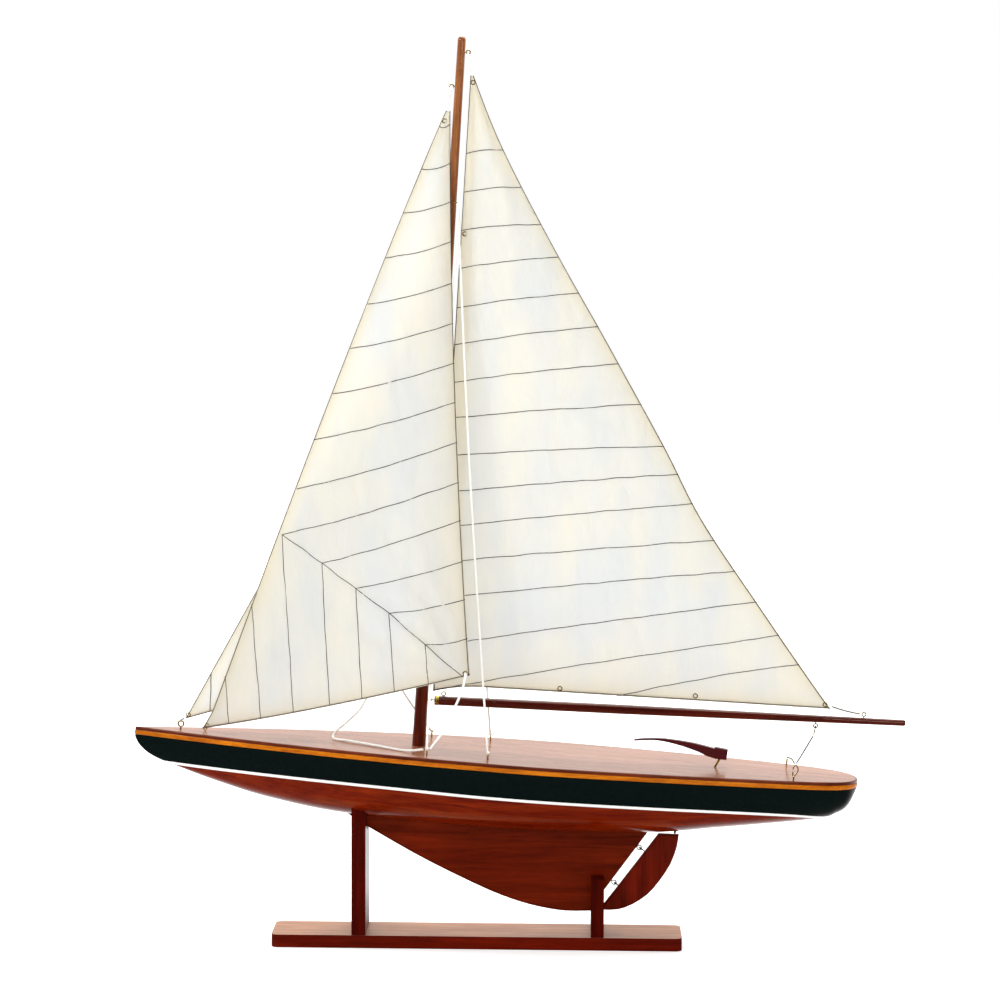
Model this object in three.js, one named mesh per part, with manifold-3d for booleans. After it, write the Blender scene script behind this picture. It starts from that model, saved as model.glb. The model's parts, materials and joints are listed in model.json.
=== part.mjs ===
// Wooden display yacht on a cradle stand: hull, keel, hinged rudder with tiller, mast, boom,
// three sails and their rigging. Units are millimetres, +Z is up, -X is the bow, -Y is port.
// The stand is drawn in the part's own frame, whose origin is the middle of the base's underside.
// Everything on the boat is drawn in the boat's frame: x aft from the mast's axis along the deck,
// y to starboard, z square to the deck. One group sets that frame nose-up on the stand.
import * as THREE from 'three';
import { mergeVertices } from 'three/addons/utils/BufferGeometryUtils.js';
import Module from 'manifold-3d';

const wasm = await Module();
wasm.setup();

// ---- driving dimensions -------------------------------------------------------------------
const GAP = 0.3; // clearance between touching pieces
const TRIM = THREE.MathUtils.degToRad(3.31); // bow-up angle of the boat on its stand
const BOAT_AT = [-50.8, 0, 167.2]; // boat origin in the part's frame

const BASE = { length: 350, depth: 48, height: 11, corner: 5.5 };
const BOW_POST = { x: -100.4, thickness: 12, top: 123 };
const STERN_POST = { x: 102.9, thickness: 11, top: 60.9 };
const SLOT_WIDTH = 11.8; // both forks, over the keel
const BOW_SLOT_FLOOR = 98.1;
const STERN_SLOT_FLOOR = 29.2;
const STAND_SCREW = {
  radius: 1.6, head: 3.4, length: 32, side: 13, sunk: 0.6, headTop: 3.4, headRoom: 0.9,
};

const BOW_X = -243;
const STERN_X = 374.8;
const BEAM_X = 104; // station of the greatest beam
const HALF_BEAM = 63;
const BOW_TIP = { length: 3, half: 1.6 }; // rounded end of the bow
const SHEER_BOW = 4; // deck height at the bow
const SHEER_DROP = 3; // how far the deck falls towards the stern
const DECK_THICKNESS = 2.5;
const STRIP = { height: 3.7, width: 5, proud: 0.5 };
const WALL = 4; // hull shell
const BOTTOM_LINE = [
  [-243, -3.6], [-242, -6.5], [-239.5, -10.6], [-236, -14.2], [-231, -18], [-222, -22.4], [-207, -27.4],
  [-170, -38.5], [-124, -49.5], [-55, -58.5], [70, -62], [196, -57], [260, -48.5], [340, -36], [358, -30],
  [368, -22.4], [374.8, -5.5],
];

const KEEL_THICKNESS = 11;
const RUDDER_THICKNESS = 7;
const RUDDER_AXIS = { through: [193.7, 0, -71.8], along: [0.524, 0, 0.852] };
const RUDDER_EYE_SPACING = 37.2; // between the two hinge eyes, along the axis
const STOCK = { radius: 1, top: [258.6, 0, 13], foot: [222.7, 0, -57.4] };

const MAST = { foot: -50, top: 603.6, footRadius: 5.8, topRadius: 3.4 };
const STEP_BLOCK = { length: 34, width: 22, bottom: -54.4, top: -38 };
const BOOM = { start: [11.1, 0, 43.6], end: [411.8, 0, 50.8], radius: 3.9, endRadius: 2.6 };
const GOOSENECK = { x: 7.6, z: 44 };

const SAIL_THICKNESS = 1;
const MAINSAIL = { head: [9.4, 572], tack: [8.9, 51.3], clew: [348, 58.6], hollow: 19, belly: 9 };
const INNER_JIB = {
  head: [-9, -5, 541.4], tack: [-182.4, -1.5, 6.2], clew: [41, -50, 75], hollow: 4, belly: 8, footRound: 1.7,
};
const OUTER_JIB = {
  head: [-8.5, 5, 415], tack: [-201, 2, 13], clew: [-34, 22, 68], hollow: 3, belly: 5, footRound: 0,
};

const CORD = 2.2; // white braided line
const SHROUD = 1.9;
const THREAD = 0.9; // mainsheet and outhaul

// ---- materials ----------------------------------------------------------------------------
const finish = (color, roughness, metalness = 0) =>
  new THREE.MeshStandardMaterial({ color, roughness, metalness });
const mahogany = finish(0x5a1408, 0.25);
const deckVeneer = finish(0xb98068, 0.3);
const palePlank = finish(0xd08a3c, 0.35);
const hullPaint = finish(0x061512, 0.25);
const keelWood = finish(0x6a2410, 0.35);
const softWood = finish(0xb8935f, 0.7);
const sailcloth = finish(0xefe9dc, 0.9);
const cordCotton = finish(0xf4f0e2, 0.9);
const threadGrey = finish(0x6a645c, 0.8);
const brass = finish(0xb38a3a, 0.3, 1);

// ---- solid helpers ------------------------------------------------------------------------
const vec = (p) => new THREE.Vector3(p[0], p[1], p[2]);

function solid(geometry) {
  const bare = geometry.clone();
  bare.deleteAttribute('normal');
  bare.deleteAttribute('uv');
  const merged = mergeVertices(bare, 1e-4);
  return new wasm.Manifold(
    new wasm.Mesh({
      numProp: 3,
      vertProperties: new Float32Array(merged.attributes.position.array),
      triVerts: new Uint32Array(merged.index.array),
    }),
  );
}

function geometryOf(manifold) {
  const mesh = manifold.getMesh();
  const geometry = new THREE.BufferGeometry();
  geometry.setAttribute('position', new THREE.BufferAttribute(new Float32Array(mesh.vertProperties), 3));
  geometry.setIndex(new THREE.BufferAttribute(new Uint32Array(mesh.triVerts), 1));
  geometry.computeVertexNormals();
  return geometry;
}

const join = (first, ...rest) =>
  geometryOf(rest.reduce((sum, piece) => sum.add(solid(piece)), solid(first)));
const cut = (first, ...rest) =>
  geometryOf(rest.reduce((left, piece) => left.subtract(solid(piece)), solid(first)));

// Closed skin over rings of equally many points, capped at both ends.
function loft(rings) {
  const count = rings[0].length;
  const positions = rings.flat().flatMap((p) => [p.x, p.y, p.z]);
  const index = [];
  for (let ring = 0; ring < rings.length - 1; ring += 1) {
    for (let i = 0; i < count; i += 1) {
      const a = ring * count + i;
      const b = ring * count + ((i + 1) % count);
      index.push(a, b, a + count, b, b + count, a + count);
    }
  }
  [rings[0], rings[rings.length - 1]].forEach((ring, end) => {
    const middle = ring.reduce((sum, p) => sum.add(p), new THREE.Vector3()).divideScalar(count);
    const centre = positions.length / 3;
    positions.push(middle.x, middle.y, middle.z);
    const start = end === 0 ? 0 : (rings.length - 1) * count;
    for (let i = 0; i < count; i += 1) {
      const a = start + i;
      const b = start + ((i + 1) % count);
      index.push(...(end === 0 ? [centre, b, a] : [centre, a, b]));
    }
  });
  const geometry = new THREE.BufferGeometry();
  geometry.setAttribute('position', new THREE.Float32BufferAttribute(positions, 3));
  geometry.setIndex(index);
  return geometry;
}

// Straight round bar between two points.
function rod(from, to, radius, sides = 10, endRadius = radius) {
  const a = vec(from);
  const b = vec(to);
  const bar = new THREE.CylinderGeometry(endRadius, radius, a.distanceTo(b), sides);
  const turn = new THREE.Quaternion().setFromUnitVectors(
    new THREE.Vector3(0, 1, 0),
    b.clone().sub(a).normalize(),
  );
  bar.applyQuaternion(turn);
  bar.translate(...a.add(b).multiplyScalar(0.5).toArray());
  return bar;
}

// Cord of a many-sided section along a smooth curve through hand-set points.
function cord(points, diameter, steps) {
  const path = new THREE.CatmullRomCurve3(points.map(vec), false, 'centripetal');
  const sides = 8;
  const rim = Array.from({ length: sides }, (_, i) => {
    const turn = (2 * Math.PI * i) / sides;
    return new THREE.Vector2(Math.cos(turn), Math.sin(turn)).multiplyScalar(diameter / 2);
  });
  return new THREE.ExtrudeGeometry(new THREE.Shape(rim), {
    steps,
    bevelEnabled: false,
    extrudePath: path,
  });
}

// Board cut to an outline of [x, z] points, centred on y = 0, with its long edges rounded.
function board(outline, thickness, round) {
  const shape = new THREE.Shape(outline.map(([x, z]) => new THREE.Vector2(x, z)));
  const plank = new THREE.ExtrudeGeometry(shape, {
    depth: thickness - 2 * round,
    bevelEnabled: round > 0,
    bevelThickness: round,
    bevelSize: round,
    bevelOffset: -round,
    bevelSegments: 2,
  });
  plank.translate(0, 0, round - thickness / 2);
  plank.rotateX(Math.PI / 2);
  return plank;
}

const smooth = (points, count) =>
  new THREE.SplineCurve(points.map(([x, z]) => new THREE.Vector2(x, z)))
    .getPoints(count)
    .map((p) => [p.x, p.y]);

// ---- hull form ----------------------------------------------------------------------------
const bottomPoints = smooth(BOTTOM_LINE, 240);

function bottomAt(x) {
  const after = bottomPoints.findIndex(([px]) => px >= x);
  if (after <= 0) return bottomPoints[0][1];
  const [x0, z0] = bottomPoints[after - 1];
  const [x1, z1] = bottomPoints[after];
  return z0 + ((z1 - z0) * (x - x0)) / (x1 - x0);
}

const alongHull = (x) => (x - BOW_X) / (STERN_X - BOW_X);
const deckAt = (x) => SHEER_BOW - SHEER_DROP * Math.max(0, alongHull(x)) ** 3;

// Half the deck's width: a fine bow, full quarters and a rounded stern.
function halfBeamAt(x) {
  const FORE_FULLNESS = 1.8;
  const QUARTER_TAPER = 0.54;
  const QUARTER_FULLNESS = 1.6;
  const STERN_ROUNDING = 20;
  if (x < BEAM_X) {
    const t = Math.min(1, (BEAM_X - x) / (BEAM_X - BOW_X));
    const fromTip = Math.min(1, Math.max(0, x - BOW_X) / BOW_TIP.length);
    return Math.max(HALF_BEAM * (1 - t ** FORE_FULLNESS), BOW_TIP.half * Math.sqrt(1 - (1 - fromTip) ** 2));
  }
  const t = Math.min(1, (x - BEAM_X) / (STERN_X - BEAM_X));
  return HALF_BEAM * (1 - QUARTER_TAPER * t ** QUARTER_FULLNESS) * Math.sqrt(1 - t ** STERN_ROUNDING);
}

// Stations crowd towards the two ends, where the form turns fastest.
function stations(from, to, count) {
  return Array.from({ length: count }, (_, i) => {
    const turn = (Math.PI * i) / (count - 1);
    return (from + to) / 2 - ((to - from) / 2) * Math.cos(turn);
  });
}

// One hull section as a superellipse from the port edge under the keel to the starboard edge.
function section(x, inset, top) {
  const HALF_POINTS = 7;
  const bluntness = 1.75 + 0.35 * alongHull(x);
  const beam = Math.max(halfBeamAt(x) - inset, 0.9);
  const depth = Math.max(top - bottomAt(x) - inset, 1.5);
  const ring = [];
  for (let i = 0; i <= 2 * HALF_POINTS; i += 1) {
    const turn = (Math.PI * i) / (2 * HALF_POINTS);
    const across = Math.sign(Math.cos(turn)) * Math.abs(Math.cos(turn)) ** (2 / bluntness);
    const down = Math.sin(turn) ** (2 / bluntness);
    ring.push(new THREE.Vector3(x, -beam * (Math.abs(across) < 1e-6 ? 0 : across), top - depth * down));
  }
  return ring;
}

const STRIP_TOP = DECK_THICKNESS + GAP; // below the deck's surface
const HULL_TOP = STRIP_TOP + STRIP.height + GAP;

function hullForm(grow, count) {
  const ends = 0.8;
  return loft(
    stations(BOW_X + ends - grow, STERN_X - ends + grow, count).map((x) =>
      section(x, -grow, deckAt(x) - HULL_TOP + grow),
    ),
  );
}

function hullCavity() {
  const BOW_BLOCK = 24; // solid wood at each end
  const STERN_BLOCK = 16;
  const OVERCUT = 1;
  return loft(
    stations(BOW_X + BOW_BLOCK, STERN_X - STERN_BLOCK, 18).map((x) =>
      section(x, WALL, deckAt(x) - HULL_TOP + OVERCUT),
    ),
  );
}

// Deck outline as [x, y] points, grown or shrunk sideways.
function deckOutline(grow) {
  const xs = stations(BOW_X - grow, STERN_X + grow, 36).slice(1, -1);
  const NARROWEST = 0.8;
  const edge = xs
    .map((x) => [x, halfBeamAt(x - Math.sign(x) * grow) + grow])
    .filter(([, y]) => y > NARROWEST);
  return [...edge.map(([x, y]) => [x, -y]), ...edge.reverse()];
}

// Flat plate under the deck's surface that follows the sheer.
function deckPlate(top, height, grow, holeGrow) {
  const shape = new THREE.Shape(deckOutline(grow).map(([x, y]) => new THREE.Vector2(x, y)));
  if (holeGrow !== undefined) {
    const inner = deckOutline(holeGrow).map(([x, y]) => new THREE.Vector2(x, y));
    shape.holes.push(new THREE.Path(inner));
  }
  const plate = new THREE.ExtrudeGeometry(shape, { depth: height, bevelEnabled: false });
  const position = plate.attributes.position;
  for (let i = 0; i < position.count; i += 1) {
    position.setZ(i, position.getZ(i) - top - height + deckAt(position.getX(i)));
  }
  return plate;
}

// ---- screw eyes ---------------------------------------------------------------------------
const WIRE = 0.5;
const EYE_RING = 2.1;
const SMALL_EYE = { ring: 1.7, wire: 0.42 };

// Brass screw eye standing on a surface; the shank goes `depth` into the wood.
function screwEye({ base, out, normal, height = 4.6, ring = EYE_RING, wire = WIRE, depth = 5 }) {
  const foot = vec(base);
  const direction = vec(out).normalize();
  const centre = foot.clone().addScaledVector(direction, height);
  const loop = new THREE.TorusGeometry(ring, wire, 5, 10);
  loop.applyQuaternion(
    new THREE.Quaternion().setFromUnitVectors(new THREE.Vector3(0, 0, 1), vec(normal).normalize()),
  );
  loop.translate(...centre.toArray());
  const from = centre.clone().addScaledVector(direction, -ring);
  const to = foot.clone().addScaledVector(direction, -depth);
  const shank = rod(from.toArray(), to.toArray(), wire, 6);
  return {
    geometry: join(loop, shank),
    bore: rod(from.toArray(), to.addScaledVector(direction, -GAP).toArray(), wire + GAP, 8),
  };
}

const onDeck = (x, y) => [x, y, deckAt(x)];
const FORE_AND_AFT = [0, 1, 0]; // ring seen round from abeam
const ATHWART = [1, 0, 0];
const UP = [0, 0, 1];

const mastRadiusAt = (z) =>
  MAST.footRadius + ((MAST.topRadius - MAST.footRadius) * Math.max(0, z)) / MAST.top;

function mastEye(z, direction, normal, height = 2.6) {
  const out = vec(direction).normalize();
  const base = out.clone().multiplyScalar(mastRadiusAt(z)).add(new THREE.Vector3(0, 0, z));
  return screwEye({
    base: base.toArray(),
    out: out.toArray(),
    normal,
    height,
    ...SMALL_EYE,
    depth: 2.2,
  });
}

// Low eye whose ring stands square across the boat.
const crossEye = (x, y) =>
  screwEye({ base: onDeck(x, y), out: UP, normal: ATHWART, height: 3.1, ring: 1.7, wire: 0.45 });

const deckEyes = {
  bow_eye: screwEye({ base: onDeck(-204.2, 0), out: UP, normal: FORE_AND_AFT, height: 5, ring: 2.4 }),
  jib_tack_eye: screwEye({ base: onDeck(-183.3, 0), out: UP, normal: FORE_AND_AFT, height: 3.4 }),
  sheet_eye_port: crossEye(9, -43),
  sheet_eye_starboard: crossEye(9, 43),
  shroud_eye_port: crossEye(60.2, -43),
  shroud_eye_starboard: crossEye(60.2, 43),
  traveller_eye_port: crossEye(317.3, -36.5),
  traveller_eye_starboard: crossEye(317.3, 36.5),
};

const mastEyes = {
  masthead_eye: mastEye(591, [1, 0, 0], FORE_AND_AFT),
  jib_halyard_eye: mastEye(562, [-1, 0, 0], FORE_AND_AFT),
  outer_jib_halyard_eye: mastEye(430, [-0.8, 0.6, 0], UP),
  mast_shroud_eye_port: mastEye(466, [0.6, -0.8, 0], UP),
  mast_shroud_eye_starboard: mastEye(466, [0.6, 0.8, 0], UP),
};

const RUDDER_HINGE = { fixedRing: 1.9, movingRing: 1.8, wire: 0.38, reachBack: 1, reachOut: 0.9 };
const BOOM_HINGE = { fixedRing: 1.25, movingRing: 1.45, wire: 0.28, reachBack: 0.85, reachOut: 0.5 };

// Linked pair of eyes that makes a hinge: the first ring's centre is on the hinge axis.
function hingeEyes(centre, towards, axis, { fixedRing, movingRing, wire, reachBack, reachOut }) {
  const at = vec(centre);
  const out = vec(towards).normalize();
  const along = vec(axis).normalize();
  const sideways = along.clone().cross(out).normalize();
  const fixedFoot = at.clone().addScaledVector(out, -fixedRing - reachBack);
  const movingFoot = at.clone().addScaledVector(out, 2 * movingRing + reachOut);
  return {
    fixed: screwEye({
      base: fixedFoot.toArray(),
      out: out.toArray(),
      normal: sideways.toArray(),
      height: fixedRing + reachBack,
      ring: fixedRing,
      wire,
      depth: 3.2,
    }),
    moving: screwEye({
      base: movingFoot.toArray(),
      out: out.clone().negate().toArray(),
      normal: along.toArray(),
      height: movingRing + reachOut,
      ring: movingRing,
      wire,
      depth: 4,
    }),
  };
}

// ---- stand --------------------------------------------------------------------------------
function standScrews(postX) {
  const { radius, head, length, side, sunk, headTop, headRoom } = STAND_SCREW;
  const BELOW_BASE = -1;
  return [-side, side].map((y) => {
    const at = (z) => [postX, y, z];
    const shaft = rod(at(1), at(length), radius, 10);
    const cone = rod(at(sunk), at(headTop), head, 12, radius);
    const shaftBore = rod(at(BELOW_BASE), at(length + GAP), radius + GAP, 10);
    const headBore = rod(at(BELOW_BASE), at(headTop + GAP), head + headRoom, 12, radius + GAP);
    return { geometry: join(shaft, cone), bores: [shaftBore, headBore] };
  });
}

function standBase() {
  const { length, depth, height, corner } = BASE;
  const x = length / 2;
  const y = depth / 2;
  const outline = new THREE.Shape();
  outline.moveTo(-x + corner, -y);
  outline.lineTo(x - corner, -y);
  outline.absarc(x - corner, -y + corner, corner, -Math.PI / 2, 0);
  outline.absarc(x - corner, y - corner, corner, 0, Math.PI / 2);
  outline.absarc(-x + corner, y - corner, corner, Math.PI / 2, Math.PI);
  outline.absarc(-x + corner, -y + corner, corner, Math.PI, 1.5 * Math.PI);
  return new THREE.ExtrudeGeometry(outline, { depth: height, bevelEnabled: false, curveSegments: 3 });
}

function post({ x, thickness, top }, slotFloor) {
  const bottom = BASE.height + GAP;
  const board3d = new THREE.BoxGeometry(thickness, BASE.depth, top - bottom);
  board3d.translate(x, 0, (top + bottom) / 2);
  const slot = new THREE.BoxGeometry(thickness + 2, SLOT_WIDTH, top);
  slot.translate(x, 0, slotFloor + top / 2);
  return [board3d, slot];
}

// ---- sails --------------------------------------------------------------------------------
// A sail is a thin closed sheet over (u, v): u runs from luff to leech, v from head to foot.
function sail(columns, rows, pointAt) {
  const sheet = new THREE.BoxGeometry(1, 1, 1, columns, 1, rows);
  const position = sheet.attributes.position;
  for (let i = 0; i < position.count; i += 1) {
    const u = position.getX(i) + 0.5;
    const v = 0.5 - position.getZ(i);
    const face = position.getY(i) * SAIL_THICKNESS;
    const [x, y, z] = pointAt(u, v);
    position.setXYZ(i, x, y + face, z);
  }
  return sheet;
}

const mix = (a, b, t) => a + (b - a) * t;
const bulge = (t) => 4 * t * (1 - t);
const HEAD_WIDTH = 3; // the head board of every sail, so that no corner is a knife point

function mainsailPoint(u, v) {
  const { head, tack, clew, hollow, belly } = MAINSAIL;
  const luffX = mix(head[0], tack[0], v);
  const leechX = mix(head[0] + HEAD_WIDTH, clew[0], v) - hollow * bulge(v);
  const TACK_DROP = 6;
  const footRise = TACK_DROP * (1 - (1 - Math.min(1, u * 8)) ** 2);
  const footZ = mix(tack[1], clew[1] - TACK_DROP, u) + footRise;
  return [mix(luffX, leechX, u), -belly * bulge(u) * Math.sin(Math.PI * v), mix(head[1], footZ, v)];
}

function jibPoint({ head, tack, clew, hollow, belly, footRound }, side) {
  return (u, v) => {
    const luff = [0, 1, 2].map((k) => mix(head[k], tack[k], v));
    const leech = [0, 1, 2].map((k) => mix(head[k] + (k === 0 ? HEAD_WIDTH : 0), clew[k], v));
    leech[0] -= hollow * bulge(v);
    const point = [0, 1, 2].map((k) => mix(luff[k], leech[k], u));
    point[1] += side * belly * bulge(u) * Math.sin(Math.PI * v * 0.9);
    point[2] -= footRound * bulge(u) * v ** 4;
    return point;
  };
}

// ---- assembly -----------------------------------------------------------------------------
const part = new THREE.Group();
const boat = new THREE.Group();
boat.position.set(...BOAT_AT);
boat.rotation.y = TRIM;
part.add(boat);

function add(parent, name, geometry, material) {
  const mesh = new THREE.Mesh(geometry, material);
  mesh.name = name;
  parent.add(mesh);
}

function inPartFrame(geometry) {
  boat.updateMatrix();
  return geometry.clone().applyMatrix4(boat.matrix);
}

// Stand.
const bowScrews = standScrews(BOW_POST.x);
const sternScrews = standScrews(STERN_POST.x);
const bowBores = bowScrews.flatMap((screw) => screw.bores);
const sternBores = sternScrews.flatMap((screw) => screw.bores);
const grownHull = hullForm(GAP, 34);
const [bowBoard, bowSlot] = post(BOW_POST, BOW_SLOT_FLOOR);
const [sternBoard, sternSlot] = post(STERN_POST, STERN_SLOT_FLOOR);
add(part, 'stand_base', cut(standBase(), ...bowBores, ...sternBores), mahogany);
add(part, 'stand_bow_post', cut(bowBoard, bowSlot, inPartFrame(grownHull), ...bowBores), mahogany);
add(part, 'stand_stern_post', cut(sternBoard, sternSlot, ...sternBores), mahogany);
[...bowScrews, ...sternScrews].forEach((screw, i) => {
  add(part, `stand_screw_${i + 1}`, screw.geometry, brass);
});

// Rudder stock and the bore it needs.
const stockLine = vec(STOCK.top).sub(vec(STOCK.foot)).normalize();
const stockBore = rod(
  vec(STOCK.foot).addScaledVector(stockLine, -4).toArray(),
  vec(STOCK.top).addScaledVector(stockLine, GAP).toArray(),
  STOCK.radius + GAP,
);

// Keel screws go down through the hull floor.
const KEEL_SCREWS = { front: 36, rear: 120 };
const KEEL_SCREW = { radius: 1.5, head: 3, reach: 26, headFoot: 0.8, headTop: 2.8 };
const keelScrew = (x) => {
  const { radius, head, reach, headFoot, headTop } = KEEL_SCREW;
  const floor = bottomAt(x) + WALL;
  const at = (height) => [x, 0, floor + height];
  const shaft = rod(at(headTop - GAP), at(-reach), radius, 10);
  const disc = rod(at(headFoot), at(headTop), head, 12);
  const bore = rod(at(headTop - GAP), at(-reach - GAP), radius + GAP, 10);
  return { geometry: join(shaft, disc), bore };
};
const keelScrews = Object.fromEntries(
  Object.entries(KEEL_SCREWS).map(([where, x]) => [`keel_screw_${where}`, keelScrew(x)]),
);
const keelScrewBores = Object.values(keelScrews).map((screw) => screw.bore);

// Hull, deck and strip.
add(boat, 'hull', cut(hullForm(0, 34), hullCavity(), stockBore, ...keelScrewBores), hullPaint);
const eyeBores = Object.values(deckEyes).map((eye) => eye.bore);
const mastHole = rod([0, 0, -10], [0, 0, 10], MAST.footRadius + 2 * GAP, 20);
const deck = cut(deckPlate(0, DECK_THICKNESS, 0), mastHole, stockBore, ...eyeBores);
add(boat, 'deck', deck, deckVeneer);
const strip = deckPlate(STRIP_TOP, STRIP.height, STRIP.proud, -STRIP.width);
add(boat, 'sheer_strip', cut(strip, ...eyeBores), palePlank);
Object.entries(keelScrews).forEach(([name, screw]) => add(boat, name, screw.geometry, brass));
Object.entries(deckEyes).forEach(([name, eye]) => add(boat, name, eye.geometry, brass));

// Keel: the tip at its front, a long rounded bottom and a straight raked after edge.
const KEEL_BOTTOM = [
  [-57, -58.5], [-38.6, -68.9], [7.7, -91.9], [55.8, -112.2], [84.4, -122.2], [108.8, -127.8],
  [133, -130.3], [156.8, -128.8],
];
const KEEL_TOP = [[156.9, -124.5], [199.6, -57.9], [199.6, -52], [-57, -52]];
const keelHinges = [0, -RUDDER_EYE_SPACING].map((offset) => {
  const along = vec(RUDDER_AXIS.along).normalize();
  const centre = vec(RUDDER_AXIS.through).addScaledVector(along, offset);
  return hingeEyes(centre.toArray(), [0.852, 0, -0.524], along.toArray(), RUDDER_HINGE);
});
const keelBlank = board([...smooth(KEEL_BOTTOM, 22), ...KEEL_TOP], KEEL_THICKNESS, 2);
const fixedBores = keelHinges.map((hinge) => hinge.fixed.bore);
add(boat, 'keel', cut(keelBlank, grownHull, ...keelScrewBores, ...fixedBores), keelWood);
add(boat, 'rudder_eye_upper', keelHinges[0].fixed.geometry, brass);
add(boat, 'rudder_eye_lower', keelHinges[1].fixed.geometry, brass);

// Rudder and its tiller.
const RUDDER_TRAILING = [
  [226.7, -57.9], [225.8, -68.4], [221.6, -83.5], [213.2, -98.9], [203.3, -112], [190.8, -121.5],
  [178.7, -126.7], [166.3, -127.8],
];
const rudderOutline = [...smooth(RUDDER_TRAILING, 14), [166.4, -123.2], [209.2, -58.4]];
const movingBores = keelHinges.map((hinge) => hinge.moving.bore);
add(boat, 'rudder', cut(board(rudderOutline, RUDDER_THICKNESS, 1.8), ...movingBores), keelWood);
add(boat, 'rudder_hook_upper', keelHinges[0].moving.geometry, brass);
add(boat, 'rudder_hook_lower', keelHinges[1].moving.geometry, brass);

const TILLER_TOP = [[183.2, 21.6], [192, 23], [203.5, 23.8], [213, 23.7], [233, 21.9], [251.6, 18.4]];
const TILLER_HEAD = [[252.5, 19.5], [263.2, 18.1], [262.4, 9.3]];
const TILLER_UNDER = [
  [253.3, 9.7], [245, 11.8], [236.5, 15.2], [220, 19.6], [205, 21.9], [193, 21.6], [183.1, 20.4],
];
const TILLER_WIDTH = { head: 6, tip: 3 };
const tillerOutline = [...smooth(TILLER_TOP, 16), ...TILLER_HEAD, ...smooth(TILLER_UNDER, 16)];
const tillerBlank = board(tillerOutline.reverse(), TILLER_WIDTH.head, 0);
const tillerPosition = tillerBlank.attributes.position;
for (let i = 0; i < tillerPosition.count; i += 1) {
  const [tipX] = TILLER_TOP[0];
  const towardsHead = Math.min(1, (tillerPosition.getX(i) - tipX) / (TILLER_HEAD[0][0] - tipX));
  const share = mix(TILLER_WIDTH.tip / TILLER_WIDTH.head, 1, towardsHead);
  tillerPosition.setY(i, tillerPosition.getY(i) * share);
}
add(boat, 'tiller', cut(tillerBlank, stockBore), mahogany);
add(boat, 'rudder_stock', rod(STOCK.foot, STOCK.top, STOCK.radius), brass);

// Mast in its step.
const mastProfile = [
  [0, MAST.foot], [MAST.footRadius, MAST.foot], [MAST.footRadius, 0], [MAST.topRadius, MAST.top - 3.2],
  [MAST.topRadius * 0.8, MAST.top - 1.2], [MAST.topRadius * 0.4, MAST.top - 0.2], [0, MAST.top],
];
const mastBlank = new THREE.LatheGeometry(mastProfile.map(([r, z]) => new THREE.Vector2(r, z)), 20);
mastBlank.rotateX(Math.PI / 2);
const gooseneck = hingeEyes([GOOSENECK.x, 0, GOOSENECK.z], [1, 0, 0], UP, BOOM_HINGE);
const mastBores = Object.values(mastEyes).map((eye) => eye.bore);
add(boat, 'mast', cut(mastBlank, ...mastBores, gooseneck.fixed.bore), mahogany);
Object.entries(mastEyes).forEach(([name, eye]) => add(boat, name, eye.geometry, brass));
add(boat, 'gooseneck_eye', gooseneck.fixed.geometry, brass);

const stepHeight = STEP_BLOCK.top - STEP_BLOCK.bottom;
const stepBlank = new THREE.BoxGeometry(STEP_BLOCK.length, STEP_BLOCK.width, stepHeight);
stepBlank.translate(0, 0, STEP_BLOCK.bottom + stepHeight / 2);
const stepHole = rod([0, 0, MAST.foot - GAP], [0, 0, 0], MAST.footRadius + GAP, 20);
add(boat, 'mast_step', cut(stepBlank, stepHole), softWood);

// Boom and its fittings.
const boomLine = vec(BOOM.end).sub(vec(BOOM.start));
const boomLength = boomLine.length();
const boomProfile = [
  [0, 0], [BOOM.radius * 0.8, 0], [BOOM.radius, 1.2], [BOOM.radius * 1.04, boomLength * 0.4],
  [BOOM.endRadius, boomLength - 1.2], [BOOM.endRadius * 0.7, boomLength], [0, boomLength],
];
const boomBlank = new THREE.LatheGeometry(boomProfile.map(([r, z]) => new THREE.Vector2(r, z)), 16);
boomBlank.applyQuaternion(
  new THREE.Quaternion().setFromUnitVectors(new THREE.Vector3(0, 1, 0), boomLine.clone().normalize()),
);
boomBlank.translate(...BOOM.start);
const boomAt = (x) => vec(BOOM.start).addScaledVector(boomLine, (x - BOOM.start[0]) / boomLine.x);
function boomEye(x, side, radius, height) {
  const base = boomAt(x).add(new THREE.Vector3(0, 0, side * radius));
  return screwEye({
    base: base.toArray(),
    out: [0, 0, side],
    normal: FORE_AND_AFT,
    height,
    ...SMALL_EYE,
    depth: 2.4,
  });
}
const boomEyes = {
  boom_tack_eye: boomEye(18.5, 1, 3.9, 2.2),
  outhaul_eye: boomEye(376.3, 1, 2.9, 3),
  boom_sheet_eye: boomEye(336.1, -1, 3.2, 2.8),
};
const boomBores = Object.values(boomEyes).map((eye) => eye.bore);
add(boat, 'boom', cut(boomBlank, gooseneck.moving.bore, ...boomBores), mahogany);
add(boat, 'boom_gooseneck_hook', gooseneck.moving.geometry, brass);
Object.entries(boomEyes).forEach(([name, eye]) => add(boat, name, eye.geometry, brass));

// Wire hook that hangs in the boom's lower eye and takes the mainsheet.
const HOOK_ROUTE = [
  [336.1, -2.4, 43.6], [336.1, -0.6, 42.8], [336.1, 0.6, 43], [335.6, 0.2, 38.4], [334.8, 0, 35.6],
];
add(boat, 'sheet_hook', cord(HOOK_ROUTE, 0.8, 16), brass);

// Bent wire link that stands in the port traveller eye and takes the mainsheet's lower end.
const LINK_ROUTE = [
  [316.6, 9.6], [316.3, 7.2], [317.3, 5.4], [318.6, 6.8], [320.6, 10.6], [320.2, 13.2], [318.2, 15.2],
  [316.6, 13.2], [316.4, 11.4],
].map(([x, z]) => [x, -36.5, z]);
add(boat, 'traveller_link', cord(LINK_ROUTE, 0.8, 24), brass);

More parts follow.
